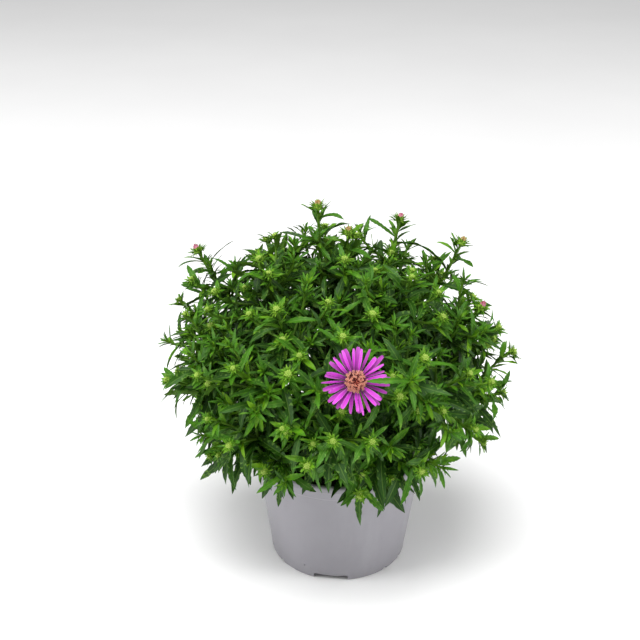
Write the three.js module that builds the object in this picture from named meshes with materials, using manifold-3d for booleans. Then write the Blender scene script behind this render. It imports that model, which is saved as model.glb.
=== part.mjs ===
// A bushy aster in its grey nursery pot. Millimetres, +Z up.
// The origin is the middle of the pot's foot, on the surface that the pot stands on.

import * as THREE from 'three';
import { mergeVertices } from 'three/addons/utils/BufferGeometryUtils.js';
import Module from 'manifold-3d';

// Pot
const POT_HEIGHT = 82;
const RIM_RADIUS = 60;
const FOOT_RADIUS = 43;
const WALL_TOP_RADIUS = 53.4;
const WALL_FOOT_RADIUS = 44.6;
const WALL_FOOT_HEIGHT = 4;
const WALL = 1.2;
const FOOT_WIDTH = 3.6;
const PLATE_HEIGHT = 2.4;
const BOSS_RADIUS = 9;
const COLLAR_HEIGHT = 13;
const COLLAR_STEP = 1.8;
const COLLAR_FLARE = 1;
const BEAD_HEIGHT = 5;
const RIM_ROUND = 1.8;
const FOOT_ROUND = 1.4;
const STEP_SLOPE = 0.8;
const POT_SIDES = 28;
const SLOT_LENGTH = 22;
const SLOT_HEIGHT = 4;
const SLOT_DEPTH = 12;
const NOTCH_LENGTH = 4;
const NOTCH_HEIGHT = 2;
const NOTCH_DEPTH = 8;
const FIRST_SLOT_ANGLE = -96.5;
const NOTCH_OFFSET_ANGLE = 49.5;

// Soil
const SOIL_TOP = 73.5;
const SOIL_BUMP = 0.9;
const SOIL_EDGE = 2;
const SOIL_RINGS = [45, 30, 15];
const SOIL_SIDES = 20;
const HOLE_DEPTH = 12;
const HOLE_RADIUS = 2.9;
const GAP = 0.35;

// The bush: its shoots end on a dome, and its leaf tips reach a little further out
const DOME_CENTRE = new THREE.Vector3(-4, 0, 139);
const DOME_RADIUS = 106;
const DOME_HALF_HEIGHT = 78;
const LOWEST_COSINE = Math.cos(THREE.MathUtils.degToRad(126));
const OUTWARD_SHARE = 0.75;
const UPWARD_SHARE = 0.35;
const GOLDEN_ANGLE = Math.PI * (3 - Math.sqrt(5));
const SEED = 4021;

// Lead shoots, each from the soil to the dome. Shares are of the way from foot to tip
const LEAD_TRIALS = 70;
const LEAD_SPACING = 47;
const ROOTSTOCK_RADIUS = 36;
const FOOT_SPACING = 9;
const SPREAD_ROUNDS = 20;
const FOOT_RISE = 2;
const UPRIGHT_SHARE = 0.33;
const LEAN_SHARE = 0.04;
const LEAD_END_SHARE = 0.3;
const LEAD_LENGTH_SHARE = 1.06;
const LEAD_LEAFY_SHARE = 0.62;
const LEAD_LEAFY_LENGTH = 84;
const LEAD_BASE_RADIUS = 1.6;
const LEAD_TIP_RADIUS = 0.9;
const LEAD_RUNS = 6;
const LEAD_SEED_STEP = 977;

// Side shoots, which branch from the lead shoots near their ends
const SIDE_TIPS = 190;
const SIDE_SPACING = 14;
const SIDE_TURN_SPREAD = 0.3;
const SIDE_SWELL = 0.84;
const SIDE_SWELL_SPREAD = 0.2;
const BRANCH_BACK = 14;
const BRANCH_BACK_SHARE = 0.85;
const HIGHEST_BRANCH = 0.14;
const LOWEST_BRANCH = 0.72;
const SIDE_START_SHARE = 0.3;
const SIDE_END_SHARE = 0.35;
const SIDE_LENGTH_SHARE = 1.05;
const BUD_SHARE = 0.6;
const SIDE_BASE_RADIUS = 0.95;
const SIDE_TIP_RADIUS = 0.75;
const SIDE_RUNS = 2;
const SIDE_SEED_STEP = 131;
const STEM_SIDES = 3;

// Leaves. They are closer, shorter and steeper towards the tip of their shoot
const LEAF_LENGTH = 31;
const YOUNG_LEAVES = 3.4;
const LEAF_SIZE = 0.85;
const LEAF_SIZE_SPREAD = 0.3;
const LEAF_WIDTH = 1.2;
const LEAF_WIDTH_SHARE = 0.16;
const LEAF_THICKNESS = 1.1;
const SHORT_LEAF = 20;
const FIRST_LEAF_BACK = 3;
const LEAF_SPACING = 2.4;
const LEAF_SPACING_GROWTH = 0.28;
const TIP_LEAF_ANGLE = 0.42;
const LEAF_ANGLE_STEP = 0.26;
const WIDEST_LEAF_ANGLE = 1.12;
const LEAF_ANGLE_SPREAD = 0.3;
const LEAF_TURN_SPREAD = 0.4;
const LEAF_ARCH = 0.3;
const LEAF_ARCH_SPREAD = 0.7;
const LEAF_BENDS = [0, 0.35, -0.35, 0.7, -0.7];
const LEAD_LEAVES = 10;
const POT_CLEARANCE = 3;
const BLOOM_CLEARANCE = 2;
const BLOOM_BACK_CLEARANCE = 4;
const SLIVER = 0.04;

// Heads in bud, and the tufts of petals that some of them show
const BUD_RADIUS = 4.4;
const BUD_HEIGHT = 5.2;
const OPEN_BUD_HEIGHT = 2.6;
const SPIKE_HEIGHT = 1.6;
const VALLEY_HEIGHT = 2.2;
const VALLEY_SHARE = 0.5;
const TUFT_PETALS = 6;
const TUFT_RADIUS = 2.9;
const TUFT_VALLEY_RADIUS = 1.3;
const TUFT_TIP_HEIGHT = 3.4;
const TUFT_VALLEY_HEIGHT = 1.8;
const TUFT_TOP_HEIGHT = 2.6;

// Open flower
const BLOOM_CENTRE = new THREE.Vector3(6, -97, 177.5);
const BLOOM_AXIS = new THREE.Vector3(0, -0.894, 0.447);
const BLOOM_RADIUS = 19.6;
const RAYS = 34;
const RAY_WIDTH = 3.1;
const RAY_THICKNESS = 0.9;
const RAY_START = 3.8;
const RAY_TURN_SPREAD = 0.5;
const RAY_REACH = 0.9;
const RAY_REACH_SPREAD = 0.1;
const LOWER_LAYER = { reach: 1, rise: 0.05, height: 0.2 };
const UPPER_LAYER = { reach: 0.93, rise: 0.2, height: 0.7 };
const RAY_ARCH = 0.2;
const RAY_ARCH_SPREAD = 0.2;
const CUP_RADIUS = 4.6;
const CORE_HEIGHT = 2;
const CORE_FOOT_RADIUS = 4;
const DISC_RADIUS = 5.4;
const DISC_HEIGHT = 2.6;
const DISC_SEAT = 1.7;
const DISC_RELIEF = 0.16;

// The leaf that lies across the flower, and the tip of the side shoot that it grows from
const BESIDE_BLOOM_TIP = new THREE.Vector3(36, -98, 180);
const CROSSING_LEAF_BACK = 2;
const CROSSING_LEAF_LENGTH = 25;
const CROSSING_LEAF_RISE = 0.58;
const CROSSING_LEAF_ARCH = 0.8;

// Ends of the shoots that can be told apart, and what each carries
const NAMED_TIPS = [
  { name: 'bloom', at: [6, -89.8, 173.9], carries: 'bloom' },
  { name: 'tall', at: [-15.6, 20, 232], carries: 'tan' },
  { name: 'pink_right', at: [82, -16, 183], carries: 'pink' },
  { name: 'pink_left', at: [-91.5, 40, 193.5], carries: 'pink' },
  { name: 'pink_top', at: [36, 45, 214], carries: 'pink' },
  { name: 'faded_top', at: [2.7, 10, 219], carries: 'tan' },
  { name: 'faded_right', at: [74, 30, 205], carries: 'tan' },
  { name: 'faded_left', at: [-104.8, -32.9, 140.8], carries: 'bud' },
  { name: 'upper_left', at: [-37.9, -57.2, 199.7], carries: 'bud' },
  { name: 'middle_left', at: [-61.3, -76.4, 172.9], carries: 'bud' },
  { name: 'under_bloom', at: [-5.9, -105.7, 144.8], carries: 'bud' },
  { name: 'right_of_bloom', at: [44.3, -76, 180.2], carries: 'bud' },
  { name: 'middle_right', at: [71.3, -65.5, 165.2], carries: 'bud' },
  { name: 'low_left', at: [-44.5, -80, 108], carries: 'bud' },
  { name: 'low_right', at: [28.5, -79, 103], carries: 'bud' },
  { name: 'lower_left', at: [-63.9, -86.5, 129.3], carries: 'bud' },
];

const UP = new THREE.Vector3(0, 0, 1);
const wasm = await Module();
wasm.setup();

// A small seeded generator of numbers from 0 to 1, so that every build grows the same plant
const RANDOM_FACTOR = 1664525;
const RANDOM_STEP = 1013904223;
const RANDOM_RANGE = 2 ** 32;

function makeRandom(seed) {
  let state = seed >>> 0;
  return () => {
    state = (Math.imul(state, RANDOM_FACTOR) + RANDOM_STEP) >>> 0;
    return state / RANDOM_RANGE;
  };
}

// Solids

function solidOf(geometry) {
  const bare = geometry.clone();
  bare.deleteAttribute('normal');
  bare.deleteAttribute('uv');
  const merged = mergeVertices(bare, 1e-4);
  const corners = [];
  for (let i = 0; i < merged.index.count; i += 3) {
    const [a, b, c] = [0, 1, 2].map((k) => merged.index.getX(i + k));
    if (a !== b && b !== c && c !== a) corners.push(a, b, c);
  }
  const build = (order) => {
    const triangles = [];
    for (let i = 0; i < corners.length; i += 3) {
      triangles.push(...order.map((k) => corners[i + k]));
    }
    return new wasm.Manifold(new wasm.Mesh({
      numProp: 3,
      vertProperties: new Float32Array(merged.attributes.position.array),
      triVerts: new Uint32Array(triangles),
    }));
  };
  const solid = build([0, 1, 2]);
  return solid.volume() > 0 ? solid : build([0, 2, 1]);
}

function geometryOf(solid) {
  const mesh = solid.getMesh();
  const geometry = new THREE.BufferGeometry();
  geometry.setAttribute('position', new THREE.BufferAttribute(mesh.vertProperties, 3));
  geometry.setIndex(new THREE.BufferAttribute(mesh.triVerts, 1));
  geometry.computeVertexNormals();
  return geometry;
}

// A closed skin over a row of rings. Rings that meet have the same number of points, except that a
// ring of one point is a tip, and a ring may open out into one with twice as many points
function loft(rings) {
  const positions = [];
  const starts = rings.map((ring) => {
    const start = positions.length / 3;
    ring.forEach((p) => positions.push(p.x, p.y, p.z));
    return start;
  });
  const triangles = [];
  for (let i = 0; i + 1 < rings.length; i += 1) {
    const [near, far] = [rings[i].length, rings[i + 1].length];
    if (near > 1 && far === 2 * near) {
      openOut(triangles, starts[i], starts[i + 1], near);
    } else {
      joinRings(triangles, starts[i], starts[i + 1], near, far);
    }
  }
  capRing(triangles, starts[0], rings[0].length, false);
  capRing(triangles, starts[rings.length - 1], rings[rings.length - 1].length, true);
  const geometry = new THREE.BufferGeometry();
  geometry.setAttribute('position', new THREE.Float32BufferAttribute(positions, 3));
  geometry.setIndex(triangles);
  return solidOf(geometry);
}

function joinRings(triangles, nearStart, farStart, near, far) {
  const sides = Math.max(near, far);
  for (let k = 0; k < sides; k += 1) {
    const next = (k + 1) % sides;
    if (near > 1) triangles.push(nearStart + k, nearStart + next, farStart + (far > 1 ? next : 0));
    if (far > 1) triangles.push(nearStart + (near > 1 ? k : 0), farStart + next, farStart + k);
  }
}

function openOut(triangles, nearStart, farStart, near) {
  for (let k = 0; k < near; k += 1) {
    const [corner, nextCorner] = [nearStart + k, nearStart + ((k + 1) % near)];
    const [left, middle, right] = [2 * k, 2 * k + 1, (2 * k + 2) % (2 * near)].map((j) => farStart + j);
    triangles.push(corner, nextCorner, middle, corner, middle, left, nextCorner, right, middle);
  }
}

function capRing(triangles, start, count, isEnd) {
  for (let k = 1; k + 1 < count; k += 1) {
    triangles.push(start, isEnd ? start + k : start + k + 1, isEnd ? start + k + 1 : start + k);
  }
}

function lathe(profile, sides) {
  const points = profile.map(([radius, height]) => new THREE.Vector2(radius, height));
  return new THREE.LatheGeometry(points, sides).rotateX(Math.PI / 2);
}

function sideways(direction, towards) {
  return towards.clone().addScaledVector(direction, -towards.dot(direction)).normalize();
}

function anySideways(direction) {
  return sideways(direction, Math.abs(direction.z) < 0.9 ? UP : new THREE.Vector3(1, 0, 0));
}

// A point at a turn and a radius round a middle, on the plane of two directions
function around(middle, across, other, turn, radius) {
  return middle.clone()
    .addScaledVector(across, radius * Math.cos(turn))
    .addScaledVector(other, radius * Math.sin(turn));
}

function tubeRings(points, startRadius, endRadius) {
  let across = null;
  return points.map((point, i) => {
    const before = points[Math.max(i - 1, 0)];
    const after = points[Math.min(i + 1, points.length - 1)];
    const along = after.clone().sub(before).normalize();
    across = across ? sideways(along, across) : anySideways(along);
    const other = along.clone().cross(across);
    const radius = startRadius + (endRadius - startRadius) * (i / (points.length - 1));
    return Array.from({ length: STEM_SIDES }, (_, k) => (
      around(point, across, other, (2 * Math.PI * k) / STEM_SIDES, radius)
    ));
  });
}

function bladePoint(leaf, along) {
  const turned = leaf.arch * along;
  return leaf.root.clone()
    .addScaledVector(leaf.direction, (leaf.length * Math.sin(turned)) / leaf.arch)
    .addScaledVector(leaf.down, (leaf.length * (1 - Math.cos(turned))) / leaf.arch);
}

// A narrow pointed blade, flat above and keeled below, that arches over from its root
function blade(leaf, widths, thickness) {
  const side = leaf.direction.clone().cross(leaf.down).normalize();
  const rings = widths.map(([along, width]) => {
    const middle = bladePoint(leaf, along);
    if (width === 0) return [middle];
    const turned = leaf.arch * along;
    const under = leaf.down.clone().multiplyScalar(Math.cos(turned))
      .addScaledVector(leaf.direction, -Math.sin(turned));
    return [
      middle.clone().addScaledVector(side, width / 2),
      middle.clone().addScaledVector(side, -width / 2),
      middle.clone().addScaledVector(under, thickness),
    ];
  });
  return loft(rings);
}

// Pot and soil

// Points on part of a circle in the pot's outline, with angles in degrees
function arc(middleRadius, middleHeight, round, startAngle, endAngle, steps) {
  return Array.from({ length: steps + 1 }, (_, i) => {
    const angle = THREE.MathUtils.degToRad(startAngle + ((endAngle - startAngle) * i) / steps);
    return [middleRadius + round * Math.cos(angle), middleHeight + round * Math.sin(angle)];
  });
}

function potProfile() {
  const collarFoot = POT_HEIGHT - COLLAR_HEIGHT;
  const collarRadius = WALL_TOP_RADIUS + COLLAR_STEP;
  const beadFoot = POT_HEIGHT - BEAD_HEIGHT;
  const footInside = FOOT_RADIUS - FOOT_WIDTH;
  const floor = PLATE_HEIGHT + WALL;
  return [
    [0, 0],
    [BOSS_RADIUS, 0],
    [BOSS_RADIUS + STEP_SLOPE, PLATE_HEIGHT],
    [footInside - STEP_SLOPE, PLATE_HEIGHT],
    [footInside, 0],
    ...arc(FOOT_RADIUS, FOOT_ROUND, FOOT_ROUND, -90, 0, 2),
    [WALL_FOOT_RADIUS, WALL_FOOT_HEIGHT],
    [WALL_TOP_RADIUS, collarFoot - STEP_SLOPE / 2],
    [collarRadius, collarFoot + STEP_SLOPE],
    [collarRadius + COLLAR_FLARE, beadFoot],
    [RIM_RADIUS - STEP_SLOPE, beadFoot],
    [RIM_RADIUS, beadFoot + STEP_SLOPE],
    ...arc(RIM_RADIUS - RIM_ROUND, POT_HEIGHT - RIM_ROUND, RIM_ROUND, 0, 180, 4),
    [collarRadius - WALL + COLLAR_FLARE, beadFoot],
    [collarRadius - WALL, collarFoot + STEP_SLOPE],
    [WALL_TOP_RADIUS - WALL, collarFoot - STEP_SLOPE],
    [WALL_FOOT_RADIUS - WALL, floor + WALL],
    [WALL_FOOT_RADIUS - 2 * WALL, floor],
    [0, floor],
  ];
}

// A block across the foot ring, for a drain cut-out
function footCutter(angle, length, height, depth) {
  const block = new THREE.BoxGeometry(depth, length, 2 * height);
  block.translate(FOOT_RADIUS - FOOT_WIDTH / 2, 0, 0);
  block.rotateZ(THREE.MathUtils.degToRad(angle));
  return solidOf(block);
}

function potSolid() {
  let pot = solidOf(lathe(potProfile(), POT_SIDES));
  for (let third = 0; third < 3; third += 1) {
    const middle = FIRST_SLOT_ANGLE + third * 120;
    pot = pot.subtract(footCutter(middle, SLOT_LENGTH, SLOT_HEIGHT, SLOT_DEPTH));
    for (const offset of [-NOTCH_OFFSET_ANGLE, NOTCH_OFFSET_ANGLE]) {
      pot = pot.subtract(footCutter(middle + offset, NOTCH_LENGTH, NOTCH_HEIGHT, NOTCH_DEPTH));
    }
  }
  return pot;
}

function soilSolid(stemFeet) {
  const bottom = PLATE_HEIGHT + WALL + GAP;
  const slope = (WALL_TOP_RADIUS - WALL_FOOT_RADIUS) / (POT_HEIGHT - COLLAR_HEIGHT - WALL_FOOT_HEIGHT);
  const inner = (height) => WALL_FOOT_RADIUS - WALL - 1.5 * GAP + slope * (height - WALL_FOOT_HEIGHT);
  const profile = [
    [0, bottom],
    [inner(bottom) - WALL, bottom],
    [inner(bottom + WALL), bottom + WALL],
    [inner(SOIL_TOP - SOIL_EDGE), SOIL_TOP - SOIL_EDGE],
    ...SOIL_RINGS.map((radius) => [radius, SOIL_TOP]),
    [0, SOIL_TOP],
  ];
  const geometry = lathe(profile, SOIL_SIDES);
  const position = geometry.attributes.position;
  for (let i = 0; i < position.count; i += 1) {
    const [x, y, z] = [position.getX(i), position.getY(i), position.getZ(i)];
    if (z === SOIL_TOP) position.setZ(i, z + SOIL_BUMP * Math.sin(x * 0.31) * Math.cos(y * 0.27 + 1));
  }
  const holes = stemFeet.map((foot) => {
    const plug = new THREE.CylinderGeometry(HOLE_RADIUS, HOLE_RADIUS, 2 * HOLE_DEPTH, 4);
    plug.rotateX(Math.PI / 2);
    plug.translate(foot.x, foot.y, SOIL_TOP);
    return solidOf(plug);
  });
  return solidOf(geometry).subtract(wasm.Manifold.union(holes));
}

// Shoots

function domePoint(cosPolar, azimuth, swell) {
  const sinPolar = Math.sqrt(1 - cosPolar * cosPolar);
  return new THREE.Vector3(
    DOME_CENTRE.x + swell * DOME_RADIUS * sinPolar * Math.cos(azimuth),
    DOME_CENTRE.y + swell * DOME_RADIUS * sinPolar * Math.sin(azimuth),
    DOME_CENTRE.z + swell * DOME_HALF_HEIGHT * cosPolar,
  );
}

// Which way a shoot's end points: out of the dome, and a little up towards the light
function tipDirection(point) {
  const out = point.clone().sub(DOME_CENTRE);
  out.z *= (DOME_RADIUS / DOME_HALF_HEIGHT) ** 2;
  return out.normalize().multiplyScalar(OUTWARD_SHARE).addScaledVector(UP, UPWARD_SHARE).normalize();
}

function spiral(count, i) {
  return { cosPolar: 1 - ((i + 0.5) / count) * (1 - LOWEST_COSINE), azimuth: i * GOLDEN_ANGLE };
}

function nearest(point, others) {
  let best = 0;
  others.forEach((other, i) => {
    if (point.distanceTo(other.tip) < point.distanceTo(others[best].tip)) best = i;
  });
  return { index: best, distance: point.distanceTo(others[best].tip) };
}

function bezier(points, t) {
  const u = 1 - t;
  return points[0].clone().multiplyScalar(u * u * u)
    .addScaledVector(points[1], 3 * u * u * t)
    .addScaledVector(points[2], 3 * u * t * t)
    .addScaledVector(points[3], t * t * t);
}

// A shoot runs straight between a few points of its curve, so that what grows from it sits inside it
function shootPath(curve, runs) {
  return Array.from({ length: runs + 1 }, (_, i) => bezier(curve, i / runs));
}

function pathPoint(path, t) {
  const at = Math.min(Math.max(t, 0), 1) * (path.length - 1);
  const run = Math.min(Math.floor(at), path.length - 2);
  return path[run].clone().lerp(path[run + 1], at - run);
}

function pathDirection(path, t) {
  return pathPoint(path, t + 0.02).sub(pathPoint(path, t - 0.02)).normalize();
}

// Where a shoot leaves the rootstock: the dome's pattern drawn together to a small disc
function stemFoot(tip) {
  const out = tip.clone().sub(DOME_CENTRE);
  const scaled = new THREE.Vector3(out.x / DOME_RADIUS, out.y / DOME_RADIUS, out.z / DOME_HALF_HEIGHT);
  const share = (1 - scaled.z / scaled.length()) / (1 - LOWEST_COSINE);
  const radius = ROOTSTOCK_RADIUS * Math.sqrt(Math.min(share, 1));
  const azimuth = Math.atan2(out.y, out.x);
  return new THREE.Vector3(radius * Math.cos(azimuth), radius * Math.sin(azimuth), SOIL_TOP + FOOT_RISE);
}

// Shoots that would come up too close together move apart
function spreadFeet(feet) {
  for (let round = 0; round < SPREAD_ROUNDS; round += 1) {
    feet.forEach((foot, i) => feet.slice(i + 1).forEach((other) => {
      const apart = other.clone().sub(foot);
      const short = FOOT_SPACING - apart.length();
      if (short <= 0) return;
      apart.normalize().multiplyScalar(short / 2);
      foot.sub(apart);
      other.add(apart);
    }));
  }
}

// The named tips, and others on a spiral wherever the dome would be left bare
function leadTips() {
  const leads = NAMED_TIPS.map(({ name, at, carries }) => ({ name, tip: new THREE.Vector3(...at), carries }));
  for (let i = 0; i < LEAD_TRIALS; i += 1) {
    const { cosPolar, azimuth } = spiral(LEAD_TRIALS, i);
    const tip = domePoint(cosPolar, azimuth, 1);
    if (nearest(tip, leads).distance >= LEAD_SPACING) leads.push({ name: 'plain', tip, carries: 'bud' });
  }
  return leads;
}

function leadShoots() {
  const leads = leadTips();
  leads.forEach((lead) => { lead.foot = stemFoot(lead.tip); });
  spreadFeet(leads.map((lead) => lead.foot));
  leads.forEach((lead, i) => {
    lead.direction = lead.carries === 'bloom' ? BLOOM_AXIS.clone().normalize() : tipDirection(lead.tip);
    const span = lead.tip.distanceTo(lead.foot);
    const outward = new THREE.Vector3(lead.foot.x, lead.foot.y, 0).normalize();
    const curve = [
      lead.foot,
      lead.foot.clone().addScaledVector(UP, UPRIGHT_SHARE * span).addScaledVector(outward, LEAN_SHARE * span),
      lead.tip.clone().addScaledVector(lead.direction, -LEAD_END_SHARE * span),
      lead.tip,
    ];
    lead.path = shootPath(curve, LEAD_RUNS);
    lead.length = span * LEAD_LENGTH_SHARE;
    lead.leafy = Math.min(LEAD_LEAFY_LENGTH, LEAD_LEAFY_SHARE * lead.length);
    lead.seed = SEED + LEAD_SEED_STEP * i;
    lead.sides = [];
  });
  return leads;
}

function inFrontOfBloom(point) {
  const offset = point.clone().sub(BLOOM_CENTRE);
  const along = offset.dot(BLOOM_AXIS);
  const across = offset.addScaledVector(BLOOM_AXIS, -along).length();
  return along > -BLOOM_BACK_CLEARANCE && across < BLOOM_RADIUS + BLOOM_CLEARANCE;
}

// The side shoot beside the flower, and others on a finer spiral than the lead shoots'
function sideTips() {
  const sides = [{ number: 0, tip: BESIDE_BLOOM_TIP, carries: 'leaves', seed: SEED, isBesideBloom: true }];
  for (let i = 0; i < SIDE_TIPS; i += 1) {
    const random = makeRandom(SEED + SIDE_SEED_STEP * i);
    const { cosPolar, azimuth } = spiral(SIDE_TIPS, i);
    const turn = azimuth + (random() - 0.5) * SIDE_TURN_SPREAD;
    const tip = domePoint(cosPolar, turn, SIDE_SWELL + SIDE_SWELL_SPREAD * random());
    const carries = random() < BUD_SHARE ? 'bud' : 'leaves';
    sides.push({ number: i, tip, carries, seed: SEED + SIDE_SEED_STEP * i + 7 });
  }
  return sides;
}

function addSideShoots(leads) {
  for (const side of sideTips()) {
    const { index, distance } = nearest(side.tip, leads);
    if (distance < SIDE_SPACING || inFrontOfBloom(side.tip)) continue;
    const lead = leads[index];
    const wanted = (BRANCH_BACK_SHARE * distance + BRANCH_BACK) / lead.length;
    const back = Math.min(Math.max(wanted, HIGHEST_BRANCH), LOWEST_BRANCH);
    const start = pathPoint(lead.path, 1 - back);
    const span = side.tip.distanceTo(start);
    side.direction = tipDirection(side.tip);
    side.path = shootPath([
      start,
      start.clone().addScaledVector(pathDirection(lead.path, 1 - back), SIDE_START_SHARE * span),
      side.tip.clone().addScaledVector(side.direction, -SIDE_END_SHARE * span),
      side.tip,
    ], SIDE_RUNS);
    side.length = span * SIDE_LENGTH_SHARE;
    side.leafy = span;
    lead.sides.push(side);
  }
}

// The leaves of a shoot, numbered from its tip down, on a 137.5 degree spiral
function leavesOf(shoot) {
  const random = makeRandom(shoot.seed);
  const startTurn = 2 * Math.PI * random();
  const leaves = [];
  for (let k = 0; ; k += 1) {
    const back = FIRST_LEAF_BACK + LEAF_SPACING * k + LEAF_SPACING_GROWTH * k * k;
    if (back > shoot.leafy - FIRST_LEAF_BACK) return leaves;
    const [size, lean, swing, bend] = [random(), random(), random(), random()];
    const steepness = Math.min(TIP_LEAF_ANGLE + LEAF_ANGLE_STEP * k, WIDEST_LEAF_ANGLE);
    const grown = 1 - Math.exp(-(k + 0.9) / YOUNG_LEAVES);
    leaves.push({
      number: k,
      root: pathPoint(shoot.path, 1 - back / shoot.length),
      along: pathDirection(shoot.path, 1 - back / shoot.length),
      angle: steepness + LEAF_ANGLE_SPREAD * (lean - 0.5),
      turn: startTurn + k * GOLDEN_ANGLE + LEAF_TURN_SPREAD * (swing - 0.5),
      length: LEAF_LENGTH * grown * (LEAF_SIZE + LEAF_SIZE_SPREAD * size),
      arch: LEAF_ARCH + LEAF_ARCH_SPREAD * bend,
    });
  }
}

function aimLeaf(leaf, extraTurn) {
  const across = anySideways(leaf.along);
  const other = leaf.along.clone().cross(across);
  const turn = leaf.turn + extraTurn;
  const radial = across.multiplyScalar(Math.cos(turn)).addScaledVector(other, Math.sin(turn));
  leaf.direction = leaf.along.clone().multiplyScalar(Math.cos(leaf.angle))
    .addScaledVector(radial, Math.sin(leaf.angle));
  leaf.down = sideways(leaf.direction, leaf.along.clone().multiplyScalar(-0.6).addScaledVector(UP, -0.4));
}

// The leaf that reaches from the side shoot beside the flower over its rays, almost to the disc
function crossingLeaf(side) {
  const root = pathPoint(side.path, 1 - CROSSING_LEAF_BACK / side.length);
  const inward = sideways(BLOOM_AXIS, BLOOM_CENTRE.clone().sub(root));
  const direction = inward.addScaledVector(BLOOM_AXIS, CROSSING_LEAF_RISE).normalize();
  const down = sideways(direction, BLOOM_AXIS.clone().negate());
  return { root, direction, down, length: CROSSING_LEAF_LENGTH, arch: CROSSING_LEAF_ARCH };
}

// Whether a leaf keeps clear of the pot's rim and of the space in front of the flower
function leafIsFree(leaf) {
  return [0.2, 0.4, 0.6, 0.8, 1].every((along) => {
    const point = bladePoint(leaf, along);
    const isOverPot = Math.hypot(point.x, point.y) < RIM_RADIUS + POT_CLEARANCE;
    return !(isOverPot && point.z < POT_HEIGHT + POT_CLEARANCE) && !inFrontOfBloom(point);
  });
}

function leafSolid(leaf) {
  const width = LEAF_WIDTH + LEAF_WIDTH_SHARE * leaf.length;
  const outline = leaf.length < SHORT_LEAF
    ? [[0, 0], [0.4, width], [1, 0]]
    : [[0, 0], [0.16, 0.6 * width], [0.55, width], [1, 0]];
  return blade(leaf, outline, LEAF_THICKNESS);
}

// Twice as many points as the stem's last ring, square to the way the head points
function headRing(endRing, head, radiusOf, heightOf) {
  return Array.from({ length: 2 * endRing.length }, (_, j) => {
    const corner = endRing[Math.floor(j / 2)];
    const nextCorner = endRing[Math.ceil(j / 2) % endRing.length];
    const middle = corner.clone().add(nextCorner).multiplyScalar(0.5);
    const outward = sideways(head.direction, middle.sub(head.tip));
    return head.tip.clone()
      .addScaledVector(outward, radiusOf(j))
      .addScaledVector(head.direction, heightOf(j));
  });
}

function carriesTuft(shoot) {
  return shoot.carries === 'pink' || shoot.carries === 'tan';
}

function budHeight(bud) {
  return carriesTuft(bud) ? OPEN_BUD_HEIGHT : BUD_HEIGHT;
}

// A head in bud grows on from the end of its stem: a small star of bracts over a green cup
function budRings(endRing, bud) {
  const isSpike = (j) => j % 2 === 1;
  const radiusOf = (j) => (isSpike(j) ? BUD_RADIUS : VALLEY_SHARE * BUD_RADIUS);
  const heightOf = (j) => (isSpike(j) ? SPIKE_HEIGHT : VALLEY_HEIGHT);
  const top = bud.tip.clone().addScaledVector(bud.direction, budHeight(bud));
  return [headRing(endRing, bud, radiusOf, heightOf), [top]];
}

// The green cup behind the open flower, which ends just under its rays
function cupRings(endRing, flower) {
  const depth = BLOOM_CENTRE.clone().sub(flower.tip).dot(flower.direction) - CORE_HEIGHT / 2 - GAP;
  return [
    headRing(endRing, flower, () => CUP_RADIUS - GAP, () => depth / 2),
    headRing(endRing, flower, () => CUP_RADIUS, () => depth),
  ];
}

function stemSolid(shoot, path, startRadius, endRadius) {
  const rings = tubeRings(path, startRadius, endRadius);
  const endRing = rings[rings.length - 1];
  if (shoot.carries === 'leaves') return loft(rings);
  const head = shoot.carries === 'bloom' ? cupRings : budRings;
  return loft([...rings, ...head(endRing, shoot)]);
}

// Flower and opening heads

function placed(solid, place, axis) {
  const turn = new THREE.Quaternion().setFromUnitVectors(UP, axis.clone().normalize());
  const frame = new THREE.Matrix4().compose(place, turn, new THREE.Vector3(1, 1, 1));
  return solidOf(geometryOf(solid).applyMatrix4(frame));
}

function raySolid(i, random) {
  const layer = i % 2 === 0 ? LOWER_LAYER : UPPER_LAYER;
  const turn = (2 * Math.PI * (i + RAY_TURN_SPREAD * (random() - 0.5))) / RAYS;
  const reach = BLOOM_RADIUS * layer.reach * (RAY_REACH + RAY_REACH_SPREAD * random());
  const direction = new THREE.Vector3(Math.cos(turn), Math.sin(turn), layer.rise).normalize();
  const ray = {
    root: new THREE.Vector3(RAY_START * direction.x, RAY_START * direction.y, layer.height),
    direction,
    down: sideways(direction, UP.clone().negate()),
    length: reach - RAY_START,
    arch: RAY_ARCH + RAY_ARCH_SPREAD * random(),
  };
  return blade(ray, [[0, 0], [0.3, 0.7 * RAY_WIDTH], [0.88, RAY_WIDTH], [1, 0]], RAY_THICKNESS);
}

function raysSolid() {
  const random = makeRandom(SEED + 5);
  const core = new THREE.CylinderGeometry(DISC_RADIUS, CORE_FOOT_RADIUS, CORE_HEIGHT, 12);
  const rays = Array.from({ length: RAYS }, (_, i) => raySolid(i, random));
  const joined = wasm.Manifold.union([solidOf(core.rotateX(Math.PI / 2)), ...rays]);
  return placed(joined, BLOOM_CENTRE, BLOOM_AXIS);
}

// The disc: a low dome whose relief stands for the small tubular florets
function discSolid() {
  const ball = new THREE.IcosahedronGeometry(1, 2);
  ball.deleteAttribute('normal');
  ball.deleteAttribute('uv');
  const geometry = mergeVertices(ball, 1e-4);
  const position = geometry.attributes.position;
  for (let i = 0; i < position.count; i += 1) {
    const [x, y, z] = [position.getX(i), position.getY(i), position.getZ(i)];
    const relief = z > 0.1 ? 1 + DISC_RELIEF * Math.sin(i * GOLDEN_ANGLE) : 1;
    const radius = (DISC_RADIUS - GAP) * relief;
    position.setXYZ(i, x * radius, y * radius, Math.max(z, 0) * DISC_HEIGHT * relief + 0.25 * z);
  }
  const seat = BLOOM_CENTRE.clone().addScaledVector(BLOOM_AXIS, DISC_SEAT);
  return placed(solidOf(geometry), seat, BLOOM_AXIS);
}

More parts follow.
